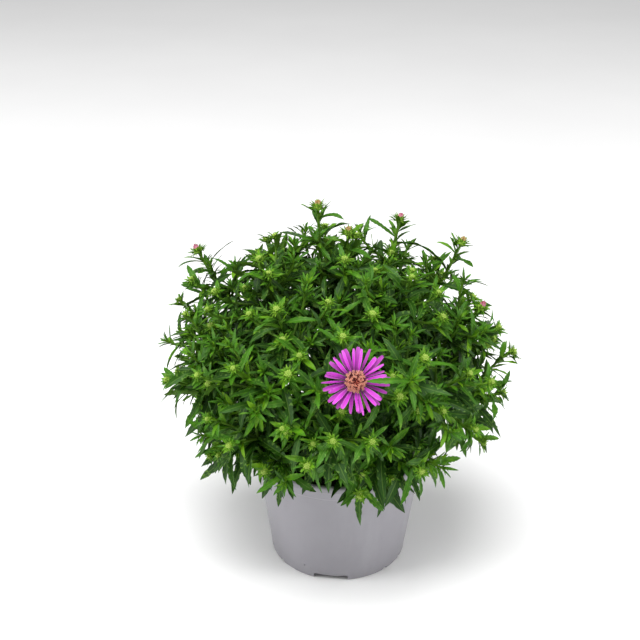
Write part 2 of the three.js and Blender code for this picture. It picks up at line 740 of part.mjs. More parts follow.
// A tuft of ray petals just opening out of a bud head
function tuftSolid(shoot) {
  const seat = shoot.tip.clone().addScaledVector(shoot.direction, OPEN_BUD_HEIGHT + GAP);
  const across = anySideways(shoot.direction);
  const other = shoot.direction.clone().cross(across);
  const rim = Array.from({ length: 2 * TUFT_PETALS }, (_, k) => {
    const isTip = k % 2 === 0;
    const radius = isTip ? TUFT_RADIUS : TUFT_VALLEY_RADIUS;
    return around(seat, across, other, (Math.PI * k) / TUFT_PETALS, radius)
      .addScaledVector(shoot.direction, isTip ? TUFT_TIP_HEIGHT : TUFT_VALLEY_HEIGHT);
  });
  return loft([[seat], rim, [seat.clone().addScaledVector(shoot.direction, TUFT_TOP_HEIGHT)]]);
}

// Assembly

const MATERIALS = {
  pot: new THREE.MeshStandardMaterial({ color: 0x9d9aa6, roughness: 0.5, metalness: 0 }),
  soil: new THREE.MeshStandardMaterial({ color: 0x1d140e, roughness: 0.95, metalness: 0 }),
  leaf: new THREE.MeshStandardMaterial({ color: 0x2f5f22, roughness: 0.55, metalness: 0 }),
  ray: new THREE.MeshStandardMaterial({ color: 0xc93cc9, roughness: 0.6, metalness: 0 }),
  disc: new THREE.MeshStandardMaterial({ color: 0xc0764a, roughness: 0.8, metalness: 0 }),
  pink: new THREE.MeshStandardMaterial({ color: 0xd6688f, roughness: 0.6, metalness: 0 }),
  tan: new THREE.MeshStandardMaterial({ color: 0xcfa27a, roughness: 0.8, metalness: 0 }),
};

const group = new THREE.Group();

function addMesh(name, solid, material) {
  const mesh = new THREE.Mesh(geometryOf(solid), MATERIALS[material]);
  mesh.name = name;
  group.add(mesh);
}

function boxOf(solid) {
  const { min, max } = solid.boundingBox();
  return new THREE.Box3(new THREE.Vector3(...min), new THREE.Vector3(...max));
}

// Everything placed so far, so that what comes next is bent clear of the other pieces
const standing = [];

function stand(solid, owner) {
  standing.push({ solid, owner, box: boxOf(solid) });
}

// It may touch its own stem, crosses nothing else of its own node, and keeps a gap to other nodes
function isClear(solid, owner, ownStem) {
  const box = boxOf(solid).expandByScalar(GAP);
  return standing.every((other) => {
    if (other.solid === ownStem || !box.intersectsBox(other.box)) return true;
    if (other.owner === owner) return solid.intersect(other.solid).isEmpty();
    return solid.minGap(other.solid, GAP) >= GAP;
  });
}

function leadStem(lead) {
  const buried = new THREE.Vector3(lead.foot.x, lead.foot.y, SOIL_TOP - HOLE_DEPTH + GAP);
  return stemSolid(lead, [buried, ...lead.path], LEAD_BASE_RADIUS, LEAD_TIP_RADIUS);
}

function addIfClear(solid, lead, ownStem) {
  if (!isClear(solid, lead.node, ownStem)) return false;
  stand(solid, lead.node);
  lead.parts.push(solid);
  return true;
}

function addSideStem(side, lead) {
  const stem = stemSolid(side, side.path, SIDE_BASE_RADIUS, SIDE_TIP_RADIUS);
  if (addIfClear(stem, lead, lead.stem)) side.stem = stem;
}

// Each leaf is tried in a few directions, and is left off where none of them is free
function addLeaves(shoot, lead, isWanted) {
  for (const leaf of leavesOf(shoot).filter(isWanted)) {
    for (const bend of LEAF_BENDS) {
      aimLeaf(leaf, bend);
      if (leafIsFree(leaf) && addIfClear(leafSolid(leaf), lead, shoot.stem)) break;
    }
  }
}

const leads = leadShoots();
addSideShoots(leads);

const pot = potSolid();
const soil = soilSolid(leads.map((lead) => lead.foot));
const rays = raysSolid();
const disc = discSolid();
stand(rays, 'bloom_rays');
stand(disc, 'bloom_disc');

leads.forEach((lead, i) => {
  lead.node = `stem_${String(i + 1).padStart(2, '0')}`;
  lead.stem = leadStem(lead);
  lead.parts = [lead.stem];
  stand(lead.stem, lead.node);
  if (carriesTuft(lead)) {
    lead.tuft = tuftSolid(lead);
    stand(lead.tuft, `tuft_${lead.name}`);
  }
});

// Every second side shoot and about half of the leaves are enough to show the bush's form
for (const lead of leads) {
  lead.sides.filter((side) => side.number % 2 === 0).forEach((side) => addSideStem(side, lead));
  lead.sides = lead.sides.filter((side) => side.stem);
}

for (const lead of leads) {
  const beside = lead.sides.find((side) => side.isBesideBloom);
  if (beside) addIfClear(leafSolid(crossingLeaf(beside)), lead, beside.stem);
}

for (const lead of leads) {
  addLeaves(lead, lead, (leaf) => leaf.number % 2 === 1 && leaf.number < LEAD_LEAVES);
  for (const side of lead.sides) {
    addLeaves(side, lead, (leaf) => leaf.number % 2 === 1 || leaf.number === 2);
  }
}

addMesh('pot', pot, 'pot');
addMesh('soil', soil, 'soil');
for (const lead of leads) {
  addMesh(lead.node, wasm.Manifold.union(lead.parts).simplify(SLIVER), 'leaf');
  if (lead.tuft) addMesh(`tuft_${lead.name}`, lead.tuft, lead.carries);
}
addMesh('bloom_rays', rays, 'ray');
addMesh('bloom_disc', disc, 'disc');

export default group;
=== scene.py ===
import math

import bmesh
import bpy
import numpy as np
from mathutils import Matrix, Vector, noise


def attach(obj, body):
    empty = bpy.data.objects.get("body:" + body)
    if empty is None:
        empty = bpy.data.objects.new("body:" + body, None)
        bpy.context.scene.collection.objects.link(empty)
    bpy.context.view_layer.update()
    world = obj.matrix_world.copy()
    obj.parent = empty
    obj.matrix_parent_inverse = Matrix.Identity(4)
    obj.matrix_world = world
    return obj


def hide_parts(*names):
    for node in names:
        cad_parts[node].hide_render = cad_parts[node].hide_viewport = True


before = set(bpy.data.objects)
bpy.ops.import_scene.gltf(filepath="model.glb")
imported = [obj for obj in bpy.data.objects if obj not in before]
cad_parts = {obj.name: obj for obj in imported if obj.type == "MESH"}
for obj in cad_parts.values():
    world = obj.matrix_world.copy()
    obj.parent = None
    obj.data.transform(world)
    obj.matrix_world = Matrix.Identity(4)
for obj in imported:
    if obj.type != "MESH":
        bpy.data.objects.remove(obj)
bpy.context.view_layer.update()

# Camera
# It stands in front of the plant and looks down on it through a long lens. It leans very slightly
# to one side, as the rim of the pot shows.
CAMERA_AIM = Vector((-0.01365, 0, 0.16575))
CAMERA_DISTANCE = 0.7404
CAMERA_PITCH = math.radians(26.56)
CAMERA_ROLL = math.radians(0.59)
CAMERA_LENS_MM = 67.5
FILM_WIDTH_MM = 36


def place_new(name, data):
    """A new object in the scene, with this mesh, camera or lamp."""
    thing = bpy.data.objects.new(name, data)
    bpy.context.scene.collection.objects.link(thing)
    return thing


forward = Vector((0, math.cos(CAMERA_PITCH), -math.sin(CAMERA_PITCH)))
level_up = Vector((0, math.sin(CAMERA_PITCH), math.cos(CAMERA_PITCH)))
level_right = Vector((1, 0, 0))
camera_right = math.cos(CAMERA_ROLL) * level_right + math.sin(CAMERA_ROLL) * level_up
camera_up = math.cos(CAMERA_ROLL) * level_up - math.sin(CAMERA_ROLL) * level_right
camera_data = bpy.data.cameras.new("camera")
camera_data.lens = CAMERA_LENS_MM
camera_data.sensor_width = FILM_WIDTH_MM
camera = place_new("camera", camera_data)
camera_turn = Matrix((camera_right, camera_up, -forward)).transposed().to_4x4()
camera.matrix_world = Matrix.Translation(CAMERA_AIM - CAMERA_DISTANCE * forward) @ camera_turn
bpy.context.scene.camera = camera

# Pot
# A nursery pot moulded in one piece from grey plastic, thin and slightly tapered. Its rim is rolled
# out over a collar, and its foot ring is cut away in three wide drain slots and six small notches.
MM = 0.001
POT_HEIGHT = 82
RIM_RADIUS = 60
FOOT_RADIUS = 43
WALL_TOP_RADIUS = 53.4
WALL_FOOT_RADIUS = 44.6
WALL_FOOT_HEIGHT = 4
WALL = 1.2
FOOT_WIDTH = 3.6
PLATE_HEIGHT = 2.4
BOSS_RADIUS = 9
COLLAR_FOOT = POT_HEIGHT - 13
COLLAR_RADIUS = WALL_TOP_RADIUS + 1.8
COLLAR_FLARE = 1
BEAD_FOOT = POT_HEIGHT - 5
RIM_ROUND = 1.8
FOOT_ROUND = 1.4
STEP_SLOPE = 0.8
CORNER_ROUND = 0.9
CORNER_STEPS = 4
CORNER_SHARE = 0.45
POT_SIDES = 160
SLOT_SIZE = (22, 4, 12)
NOTCH_SIZE = (4, 2, 8)
FIRST_SLOT_ANGLE = -96.5
NOTCH_OFFSET_ANGLE = 49.5
GATE_ANGLE = -119
GATE_HEIGHT = 8.5
GATE_REACH = WALL_FOOT_RADIUS + 0.7
GATE_RADIUS = 0.55
SMOOTH_UP_TO = math.radians(50)
POT_SMOOTH_UP_TO = math.radians(40)


def srgb(red, green, blue):
    """A screen colour, 0 to 255, as the linear colour that a shader takes."""
    def linear(value):
        value /= 255
        return value / 12.92 if value <= 0.04045 else ((value + 0.055) / 1.055) ** 2.4
    return linear(red), linear(green), linear(blue), 1


class Finish:
    """A material on a Principled shader, with a short call for each kind of node that paints it."""

    def __init__(self, name, **settings):
        self.material = bpy.data.materials.new(name)
        self.material.use_nodes = True
        self.nodes = self.material.node_tree.nodes
        self.links = self.material.node_tree.links
        self.shader = self.nodes["Principled BSDF"]
        for setting, value in settings.items():
            self.shader.inputs[setting.replace("_", " ").title()].default_value = value

    def put(self, socket, value):
        if isinstance(value, bpy.types.NodeSocket):
            self.links.new(value, socket)
        else:
            socket.default_value = value

    def paint(self, socket, value):
        self.put(self.shader.inputs[socket], value)

    def noise(self, scale, detail=3, roughness=0.55, stretch=(1, 1, 1)):
        mapping = self.nodes.new("ShaderNodeMapping")
        mapping.inputs["Scale"].default_value = stretch
        self.links.new(self.nodes.new("ShaderNodeTexCoord").outputs["Object"], mapping.inputs["Vector"])
        node = self.nodes.new("ShaderNodeTexNoise")
        self.links.new(mapping.outputs["Vector"], node.inputs["Vector"])
        node.inputs["Scale"].default_value = scale
        node.inputs["Detail"].default_value = detail
        node.inputs["Roughness"].default_value = roughness
        return node.outputs["Fac"]

    def attribute(self, name):
        node = self.nodes.new("ShaderNodeAttribute")
        node.attribute_name = name
        return node.outputs["Fac"]

    def math(self, operation, *values):
        node = self.nodes.new("ShaderNodeMath")
        node.operation = operation
        for socket, value in zip(node.inputs, values):
            self.put(socket, value)
        return node.outputs["Value"]

    def spread(self, value, low, high, new_low=0.0, new_high=1.0):
        node = self.nodes.new("ShaderNodeMapRange")
        for socket, given in zip(node.inputs, (value, low, high, new_low, new_high)):
            self.put(socket, given)
        return node.outputs["Result"]

    def ramp(self, value, *stops):
        node = self.nodes.new("ShaderNodeValToRGB")
        elements = node.color_ramp.elements
        while len(elements) < len(stops):
            elements.new(1)
        for element, (position, colour) in zip(elements, stops):
            element.position = position
            element.color = colour
        self.put(node.inputs["Fac"], value)
        return node.outputs["Color"]

    def mix(self, share, first, second):
        node = self.nodes.new("ShaderNodeMix")
        node.data_type = "RGBA"
        sockets = {socket.identifier: socket for socket in node.inputs}
        self.put(sockets["Factor_Float"], share)
        self.put(sockets["A_Color"], first)
        self.put(sockets["B_Color"], second)
        return next(socket for socket in node.outputs if socket.identifier == "Result_Color")

    def bump(self, height, strength, distance):
        node = self.nodes.new("ShaderNodeBump")
        node.inputs["Strength"].default_value = strength
        node.inputs["Distance"].default_value = distance
        self.links.new(height, node.inputs["Height"])
        self.links.new(node.outputs["Normal"], self.shader.inputs["Normal"])


def piece_from(name, points_mm, faces):
    """A new piece that is shaded smooth, but for its sharp edges."""
    mesh = bpy.data.meshes.new(name)
    mesh.from_pydata((np.asarray(points_mm) * MM).tolist(), [], faces)
    mesh.shade_smooth()
    mesh.set_sharp_from_angle(angle=SMOOTH_UP_TO)
    return place_new(name, mesh)


def rounded(profile, radius):
    """The (radius, height) outline with its corners cut to short arcs, none past half of a side."""
    points = [np.array(point, float) for point in profile]
    result = [points[0]]
    for before, corner, after in zip(points, points[1:], points[2:]):
        to_before, to_after = before - corner, after - corner
        length_before, length_after = np.linalg.norm(to_before), np.linalg.norm(to_after)
        reach = min(radius, CORNER_SHARE * length_before, CORNER_SHARE * length_after)
        start = corner + reach * to_before / length_before
        end = corner + reach * to_after / length_after
        for t in np.linspace(0, 1, CORNER_STEPS):
            result.append((1 - t) ** 2 * start + 2 * t * (1 - t) * corner + t * t * end)
    return result + [points[-1]]


def on_circle(radius, angle, height):
    """The point at this radius, angle and height about the Z axis."""
    return np.array([radius * math.cos(angle), radius * math.sin(angle), height])


def turned(profile, sides):
    """Points and faces of an outline turned about the Z axis, from one point on it to another."""
    points = [(0, 0, profile[0][1]), (0, 0, profile[-1][1])]
    for radius, height in profile[1:-1]:
        points.extend(on_circle(radius, math.tau * k / sides, height) for k in range(sides))
    last = 2 + (len(profile) - 3) * sides
    faces = []
    for k in range(sides):
        after = (k + 1) % sides
        faces.append((0, 2 + after, 2 + k))
        faces.append((1, last + k, last + after))
        for low in range(2, last, sides):
            faces.append((low + k, low + after, low + sides + after, low + sides + k))
    return points, faces


def arc(middle_radius, middle_height, round_radius, start_angle, end_angle, steps):
    angles = np.radians(np.linspace(start_angle, end_angle, steps + 1))
    return [(middle_radius + round_radius * math.cos(angle), middle_height + round_radius * math.sin(angle))
            for angle in angles]


def pot_profile():
    foot_inside = FOOT_RADIUS - FOOT_WIDTH
    floor = PLATE_HEIGHT + WALL
    under = [(0, 0), (BOSS_RADIUS, 0), (BOSS_RADIUS + STEP_SLOPE, PLATE_HEIGHT),
             (foot_inside - STEP_SLOPE, PLATE_HEIGHT), (foot_inside, 0)]
    outside = [(WALL_FOOT_RADIUS, WALL_FOOT_HEIGHT), (WALL_TOP_RADIUS, COLLAR_FOOT - STEP_SLOPE / 2),
               (COLLAR_RADIUS, COLLAR_FOOT + STEP_SLOPE), (COLLAR_RADIUS + COLLAR_FLARE, BEAD_FOOT),
               (RIM_RADIUS - STEP_SLOPE, BEAD_FOOT), (RIM_RADIUS, BEAD_FOOT + STEP_SLOPE)]
    inside = [(COLLAR_RADIUS - WALL + COLLAR_FLARE, BEAD_FOOT),
              (COLLAR_RADIUS - WALL, COLLAR_FOOT + STEP_SLOPE),
              (WALL_TOP_RADIUS - WALL, COLLAR_FOOT - STEP_SLOPE),
              (WALL_FOOT_RADIUS - WALL, floor + WALL), (WALL_FOOT_RADIUS - 2 * WALL, floor), (0, floor)]
    under, outside, inside = (rounded(part, CORNER_ROUND) for part in (under, outside, inside))
    foot = arc(FOOT_RADIUS, FOOT_ROUND, FOOT_ROUND, -90, 0, 6)
    rim = arc(RIM_RADIUS - RIM_ROUND, POT_HEIGHT - RIM_ROUND, RIM_ROUND, 0, 180, 12)
    return under + foot + outside + rim + inside


def new_block(cutter, reach, height, angle):
    """The cutter as a block of its own, moved out to its place round the pot."""
    bmesh.ops.translate(cutter, vec=(reach * MM, 0, height * MM), verts=cutter.verts)
    bmesh.ops.rotate(cutter, matrix=Matrix.Rotation(math.radians(angle), 3, "Z"), verts=cutter.verts)
    mesh = bpy.data.meshes.new("cutter")
    cutter.to_mesh(mesh)
    cutter.free()
    return place_new("cutter", mesh)


def foot_cutter(angle, size):
    """A block with rounded upper corners that cuts a drain opening in the foot ring."""
    length, height, depth = size
    cutter = bmesh.new()
    bmesh.ops.create_cube(cutter, size=1)
    bmesh.ops.scale(cutter, vec=(depth * MM, length * MM, 2 * height * MM), verts=cutter.verts)
    upper = [edge for edge in cutter.edges
             if all(vert.co.z > 0 for vert in edge.verts) and edge.verts[0].co.y == edge.verts[1].co.y]
    bmesh.ops.bevel(cutter, geom=upper, offset=STEP_SLOPE * MM, segments=3, affect="EDGES")
    return new_block(cutter, FOOT_RADIUS - FOOT_WIDTH / 2, 0, angle)


def gate_cutter():
    """A small pin that leaves the round mark of the mould's gate in the wall."""
    cutter = bmesh.new()
    bmesh.ops.create_cone(cutter, cap_ends=True, segments=20, radius1=GATE_RADIUS * MM,
                          radius2=GATE_RADIUS * MM, depth=WALL * MM)
    bmesh.ops.rotate(cutter, matrix=Matrix.Rotation(math.radians(90), 3, "Y"), verts=cutter.verts)
    return new_block(cutter, GATE_REACH, GATE_HEIGHT, GATE_ANGLE)


def cut_away(piece, blocks):
    for block in blocks:
        cut = piece.modifiers.new("cut", "BOOLEAN")
        cut.object = block
        cut.solver = "EXACT"
    whole = bpy.data.meshes.new_from_object(piece.evaluated_get(bpy.context.evaluated_depsgraph_get()))
    piece.modifiers.clear()
    piece.data = whole
    for block in blocks:
        bpy.data.objects.remove(block)


def pot_plastic():
    plastic = Finish("pot_plastic")
    cloud = plastic.noise(22, detail=4)
    streak = plastic.noise(60, detail=5, stretch=(1, 1, 0.12))
    dust = plastic.noise(420, detail=4, roughness=0.7)
    tone = plastic.ramp(cloud, (0.3, srgb(136, 134, 140)), (0.7, srgb(146, 144, 150)))
    tone = plastic.mix(plastic.spread(streak, 0.55, 0.75, 0, 0.35), tone, srgb(158, 157, 163))
    tone = plastic.mix(plastic.spread(dust, 0.62, 0.78, 0, 0.35), tone, srgb(116, 112, 112))
    plastic.paint("Base Color", tone)
    plastic.paint("Roughness", plastic.spread(cloud, 0.3, 0.7, 0.4, 0.52))
    plastic.bump(plastic.noise(2600, detail=2), 0.12, 0.0002)
    return plastic.material


pot = piece_from("pot_shell", *turned(pot_profile(), POT_SIDES))
blocks = [gate_cutter()]
for third in range(3):
    slot_angle = FIRST_SLOT_ANGLE + 120 * third
    blocks.append(foot_cutter(slot_angle, SLOT_SIZE))
    blocks.append(foot_cutter(slot_angle - NOTCH_OFFSET_ANGLE, NOTCH_SIZE))
    blocks.append(foot_cutter(slot_angle + NOTCH_OFFSET_ANGLE, NOTCH_SIZE))
cut_away(pot, blocks)
pot.data.shade_smooth()
pot.data.set_sharp_from_angle(angle=POT_SMOOTH_UP_TO)
pot.data.materials.append(pot_plastic())
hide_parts("pot")
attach(pot, "root")

# Soil
# Dark damp peat that fills the pot to a little below the rim. It is loose on top, with crumbs lying
# on it, and the shoots come up through it.
SOIL_TOP = 73.5
SOIL_BOTTOM = 3.95
SOIL_FOOT_RADIUS = 42.6
SOIL_EDGE_RADIUS = 52.4
SOIL_EDGE_DROP = 0.8
SOIL_SIDES = 120
SOIL_RINGS = 36
SOIL_SEED = 11
BROAD_WAVES = 0.11
FINE_WAVES = 0.6
FINE_WAVE_HEIGHT = 0.7
CRUMBS = 900
CRUMB_REACH = 51
LEAST_CRUMB = 0.4
CRUMB_SPREAD = 1.1


def soil_height(x, y):
    broad = noise.noise(Vector((x * BROAD_WAVES, y * BROAD_WAVES, 0.3)))
    fine = noise.noise(Vector((x * FINE_WAVES, y * FINE_WAVES, 2.1)))
    return SOIL_TOP + broad + FINE_WAVE_HEIGHT * fine


def soil_mesh():
    side = [(0, SOIL_BOTTOM), (SOIL_FOOT_RADIUS - 1, SOIL_BOTTOM), (SOIL_FOOT_RADIUS, SOIL_BOTTOM + 1.2),
            (SOIL_EDGE_RADIUS - 0.3, SOIL_TOP - 2.5)]
    top = [(radius, SOIL_TOP) for radius in np.linspace(SOIL_EDGE_RADIUS, 0, SOIL_RINGS)]
    points, faces = turned(side + top, SOIL_SIDES)
    points = [list(point) for point in points]
    for point in points:
        if point[2] == SOIL_TOP:
            inward = min(1, (SOIL_EDGE_RADIUS + 1 - math.hypot(point[0], point[1])) / 2)
            rise = soil_height(point[0], point[1]) - SOIL_TOP + SOIL_EDGE_DROP
            point[2] += inward * rise - SOIL_EDGE_DROP
    return points, faces


def crumb(random, centre, size):
    """Points and faces of one lump of peat, stretched and turned at random."""
    ball = bmesh.new()
    bmesh.ops.create_icosphere(ball, subdivisions=1, radius=1)
    stretch = size * (0.6 + 0.8 * random.random(3))
    spin = Matrix.Rotation(math.tau * random.random(), 3, random.normal(size=3).tolist())
    points = []
    for vert in ball.verts:
        lump = 1 + 0.35 * noise.noise(2 * vert.co + Vector(centre))
        points.append(np.array(centre) + np.array(spin @ Vector(lump * stretch * np.array(vert.co))))
    faces = [[vert.index for vert in face.verts] for face in ball.faces]
    ball.free()
    return points, faces


def peat():
    earth = Finish("peat", roughness=0.95)
    grain = earth.noise(900, detail=6, roughness=0.7)
    patch = earth.noise(160)
    tone = earth.ramp(grain, (0.3, srgb(14, 9, 8)), (0.52, srgb(38, 25, 19)), (0.72, srgb(74, 50, 36)))
    tone = earth.mix(earth.spread(patch, 0.45, 0.7, 0, 0.5), tone, srgb(22, 14, 11))
    earth.paint("Base Color", tone)
    earth.bump(grain, 0.8, 0.0012)
    return earth.material


def soil_piece():
    random = np.random.default_rng(SOIL_SEED)
    points, faces = soil_mesh()
    for _ in range(CRUMBS):
        radius = CRUMB_REACH * math.sqrt(random.random())
        x, y, _ = on_circle(radius, math.tau * random.random(), 0)
        size = LEAST_CRUMB + CRUMB_SPREAD * random.random() ** 2
        crumb_points, crumb_faces = crumb(random, (x, y, soil_height(x, y) + 0.2 * size), size)
        faces.extend([[len(points) + index for index in face] for face in crumb_faces])
        points.extend(crumb_points)
    return piece_from("soil_bed", points, faces)


soil = soil_piece()
soil.data.materials.append(peat())
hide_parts("soil")
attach(soil, "root")

# The bush and how it branches
# Its lead shoots rise from one rootstock and end on a dome. Side shoots leave them near their ends,
# and shorter ones, with leaves alone, fill the inside of the bush.
DOME_CENTRE = np.array([-4.0, 0, 139])
DOME_SIZE = np.array([106.0, 106, 78])
LOWEST_COSINE = math.cos(math.radians(126))
OUTWARD_SHARE = 0.75
UPWARD_SHARE = 0.35
GOLDEN_ANGLE = math.pi * (3 - math.sqrt(5))
DRAW_FACTOR = 1664525
DRAW_STEP = 1013904223
DRAW_RANGE = 2**32
SEED = 4021
LEAD_SEED_STEP = 977
LEAD_TRIALS = 70
LEAD_SPACING = 47
ROOTSTOCK_RADIUS = 36
FOOT_HEIGHT = SOIL_TOP + 2
FOOT_SPACING = 9
SPREAD_ROUNDS = 20
RISE_SHARE = 0.33
LEAN_SHARE = 0.04
LEAD_END_SHARE = 0.3
LEAD_BEND = 1.06
LEAFY_SHARE = 0.62
LEAD_LEAFY_LENGTH = 84
SIDE_SEED_STEP = 131
SIDE_SHOOT_DRAWS = 7
SIDE_TIPS = 190
SIDE_SPACING = 14
SIDE_BUD_SHARE = 0.6
INNER_SEED_STEP = 173
INNER_TIP_DRAWS = 29
INNER_TIPS = 300
INNER_SPACING = 7
INNER_TURN = 1.1
LOWEST_INNER_TIP = POT_HEIGHT + 12
BRANCH_BACK = 14
BRANCH_BACK_SHARE = 0.85
FIRST_BRANCH = 0.14
LAST_BRANCH = 0.72
SIDE_START_SHARE = 0.3
SIDE_END_SHARE = 0.35
SIDE_BEND = 1.05
CURVE_STEP = 0.01
BLOOM_CENTRE = np.array([6.0, -97, 177.5])
BLOOM_AXIS = np.array([0, -0.894, 0.447])
BLOOM_RADIUS = 19.6
BLOOM_CLEARANCE = 2
BLOOM_BACK = -4
BESIDE_BLOOM_TIP = np.array([36.0, -98, 180])
UP = np.array([0.0, 0, 1])
NAMED_TIPS = [
    ("bloom", (6, -89.8, 173.9), "bloom"),
    ("tall", (-15.6, 20, 232), "tan"),
    ("pink_right", (82, -16, 183), "pink"),
    ("pink_left", (-91.5, 40, 193.5), "pink"),
    ("pink_top", (36, 45, 214), "pink"),
    ("faded_top", (2.7, 10, 219), "tan"),
    ("faded_right", (74, 30, 205), "tan"),
    ("faded_left", (-104.8, -32.9, 140.8), "bud"),
    ("upper_left", (-37.9, -57.2, 199.7), "bud"),
    ("middle_left", (-61.3, -76.4, 172.9), "bud"),
    ("under_bloom", (-5.9, -105.7, 144.8), "bud"),
    ("right_of_bloom", (44.3, -76, 180.2), "bud"),
    ("middle_right", (71.3, -65.5, 165.2), "bud"),
    ("low_left", (-44.5, -80, 108), "bud"),
    ("low_right", (28.5, -79, 103), "bud"),
    ("lower_left", (-63.9, -86.5, 129.3), "bud"),
]


def draws_from(seed):
    """An endless row of seeded draws from 0 to 1."""
    state = seed % DRAW_RANGE
    while True:
        state = (state * DRAW_FACTOR + DRAW_STEP) % DRAW_RANGE
        yield state / DRAW_RANGE


def between(draw, low, high):
    """The next draw, spread from low to high."""
    return low + (high - low) * next(draw)


def unit(vector):
    return vector / math.sqrt(vector @ vector)


def sideways(direction, towards):
    """The direction square to this one that points most nearly towards the other."""
    return unit(towards - direction * (towards @ direction))


def sides_of(direction):
    """Two directions square to this one and to each other."""
    across = sideways(direction, UP if abs(direction[2]) < 0.9 else np.array([1.0, 0, 0]))
    return across, np.cross(direction, across)


def dome_point(cosine, azimuth, swell):
    """A point of the dome, or of one that is smaller or larger by the factor swell."""
    sine = math.sqrt(1 - cosine * cosine)
    return DOME_CENTRE + swell * DOME_SIZE * on_circle(sine, azimuth, cosine)


def tip_direction(point):
    out = point - DOME_CENTRE
    out[2] *= (DOME_SIZE[0] / DOME_SIZE[2]) ** 2
    return unit(OUTWARD_SHARE * unit(out) + UPWARD_SHARE * UP)


def spiral(count, i):
    """The place of one of count points that lie evenly over the dome."""
    return 1 - (i + 0.5) / count * (1 - LOWEST_COSINE), i * GOLDEN_ANGLE


def nearest(point, shoots):
    apart = [math.dist(point, shoot["tip"]) for shoot in shoots]
    best = int(np.argmin(apart))
    return shoots[best], apart[best]


def swung(start, towards, angle):
    """The direction at this angle from one direction towards another that is square to it."""
    return math.cos(angle) * start + math.sin(angle) * towards


def around(axis, turn):
    """The direction square to an axis that lies at this turn round it."""
    return swung(*sides_of(axis), turn)


def curve_point(curve, t):
    u = 1 - t
    return u**3 * curve[0] + 3 * u * u * t * curve[1] + 3 * u * t * t * curve[2] + t**3 * curve[3]


def curve_direction(curve, t):
    return unit(curve_point(curve, min(t + CURVE_STEP, 1)) - curve_point(curve, max(t - CURVE_STEP, 0)))


def stem_foot(tip):
    out = tip - DOME_CENTRE
    cosine = out[2] / DOME_SIZE[2] / np.linalg.norm(out / DOME_SIZE)
    radius = ROOTSTOCK_RADIUS * math.sqrt(min((1 - cosine) / (1 - LOWEST_COSINE), 1))
    return on_circle(radius, math.atan2(out[1], out[0]), FOOT_HEIGHT)


def spread_feet(feet):
    """Pushes the feet of the shoots apart until they stand clear of each other."""
    for _ in range(SPREAD_ROUNDS):
        for i, foot in enumerate(feet):
            for other in feet[i + 1:]:
                apart = other - foot
                short = FOOT_SPACING - np.linalg.norm(apart)
                if short > 0:
                    push = unit(apart) * short / 2
                    foot -= push
                    other += push


def lead_shoots():
    leads = [{"name": name, "tip": np.array(tip, float), "carries": carries}
             for name, tip, carries in NAMED_TIPS]
    for i in range(LEAD_TRIALS):
        tip = dome_point(*spiral(LEAD_TRIALS, i), 1)
        if nearest(tip, leads)[1] >= LEAD_SPACING:
            leads.append({"name": "plain", "tip": tip, "carries": "bud"})
    feet = [stem_foot(lead["tip"]) for lead in leads]
    spread_feet(feet)
    for i, (lead, foot) in enumerate(zip(leads, feet)):
        tip = lead["tip"]
        direction = unit(BLOOM_AXIS) if lead["carries"] == "bloom" else tip_direction(tip)
        span = math.dist(tip, foot)
        outward = unit(np.array([foot[0], foot[1], 0]))
        upright = foot + RISE_SHARE * span * UP + LEAN_SHARE * span * outward
        lead["direction"] = direction
        lead["curve"] = [foot, upright, tip - LEAD_END_SHARE * span * direction, tip]
        lead["length"] = LEAD_BEND * span
        lead["leafy"] = min(LEAD_LEAFY_LENGTH, LEAFY_SHARE * lead["length"])
        lead["seed"] = SEED + LEAD_SEED_STEP * i
        lead["sides"] = []
    return leads


def in_front_of_bloom(point):
    offset = point - BLOOM_CENTRE
    along = offset @ BLOOM_AXIS
    aside = np.linalg.norm(offset - along * BLOOM_AXIS)
    return along > BLOOM_BACK and aside < BLOOM_RADIUS + BLOOM_CLEARANCE


def side_tips():
    """The ends of the side shoots, close to the dome."""
    sides = [{"tip": BESIDE_BLOOM_TIP, "carries": "leaves", "seed": SEED, "crosses_bloom": True}]
    for i in range(SIDE_TIPS):
        seed = SEED + SIDE_SEED_STEP * i
        draw = draws_from(seed)
        cosine, azimuth = spiral(SIDE_TIPS, i)
        azimuth += between(draw, -0.15, 0.15)
        tip = dome_point(cosine, azimuth, between(draw, 0.84, 1.04))
        carries = "bud" if next(draw) < SIDE_BUD_SHARE else "leaves"
        sides.append({"tip": tip, "carries": carries, "seed": seed + SIDE_SHOOT_DRAWS})
    return sides


def inner_tips():
    """The ends of the shorter shoots that fill the inside of the bush."""
    sides = []
    for i in range(INNER_TIPS):
        seed = SEED + INNER_SEED_STEP * i
        draw = draws_from(seed + INNER_TIP_DRAWS)
        cosine, azimuth = spiral(INNER_TIPS, i)
        tip = dome_point(cosine, azimuth + INNER_TURN, between(draw, 0.48, 0.88))
        if tip[2] > LOWEST_INNER_TIP:
            sides.append({"tip": tip, "carries": "leaves", "seed": seed, "is_inner": True})
    return sides


def add_side_shoots(leads, sides, spacing):
    """Gives each side shoot to the nearest lead, unless its end is too close or before the flower."""
    for side in sides:
        lead, distance = nearest(side["tip"], leads)
        if distance < spacing or in_front_of_bloom(side["tip"]):
            continue
        back = (BRANCH_BACK_SHARE * distance + BRANCH_BACK) / lead["length"]
        back = min(max(back, FIRST_BRANCH), LAST_BRANCH)
        start = curve_point(lead["curve"], 1 - back)
        span = math.dist(side["tip"], start)
        side["direction"] = tip_direction(side["tip"])
        onward = start + SIDE_START_SHARE * span * curve_direction(lead["curve"], 1 - back)
        inward = side["tip"] - SIDE_END_SHARE * span * side["direction"]
        side["curve"] = [start, onward, inward, side["tip"]]
        side["length"] = SIDE_BEND * span
        side["leafy"] = span
        lead["sides"].append(side)


leads = lead_shoots()
add_side_shoots(leads, side_tips(), SIDE_SPACING)
add_side_shoots(leads, inner_tips(), INNER_SPACING)

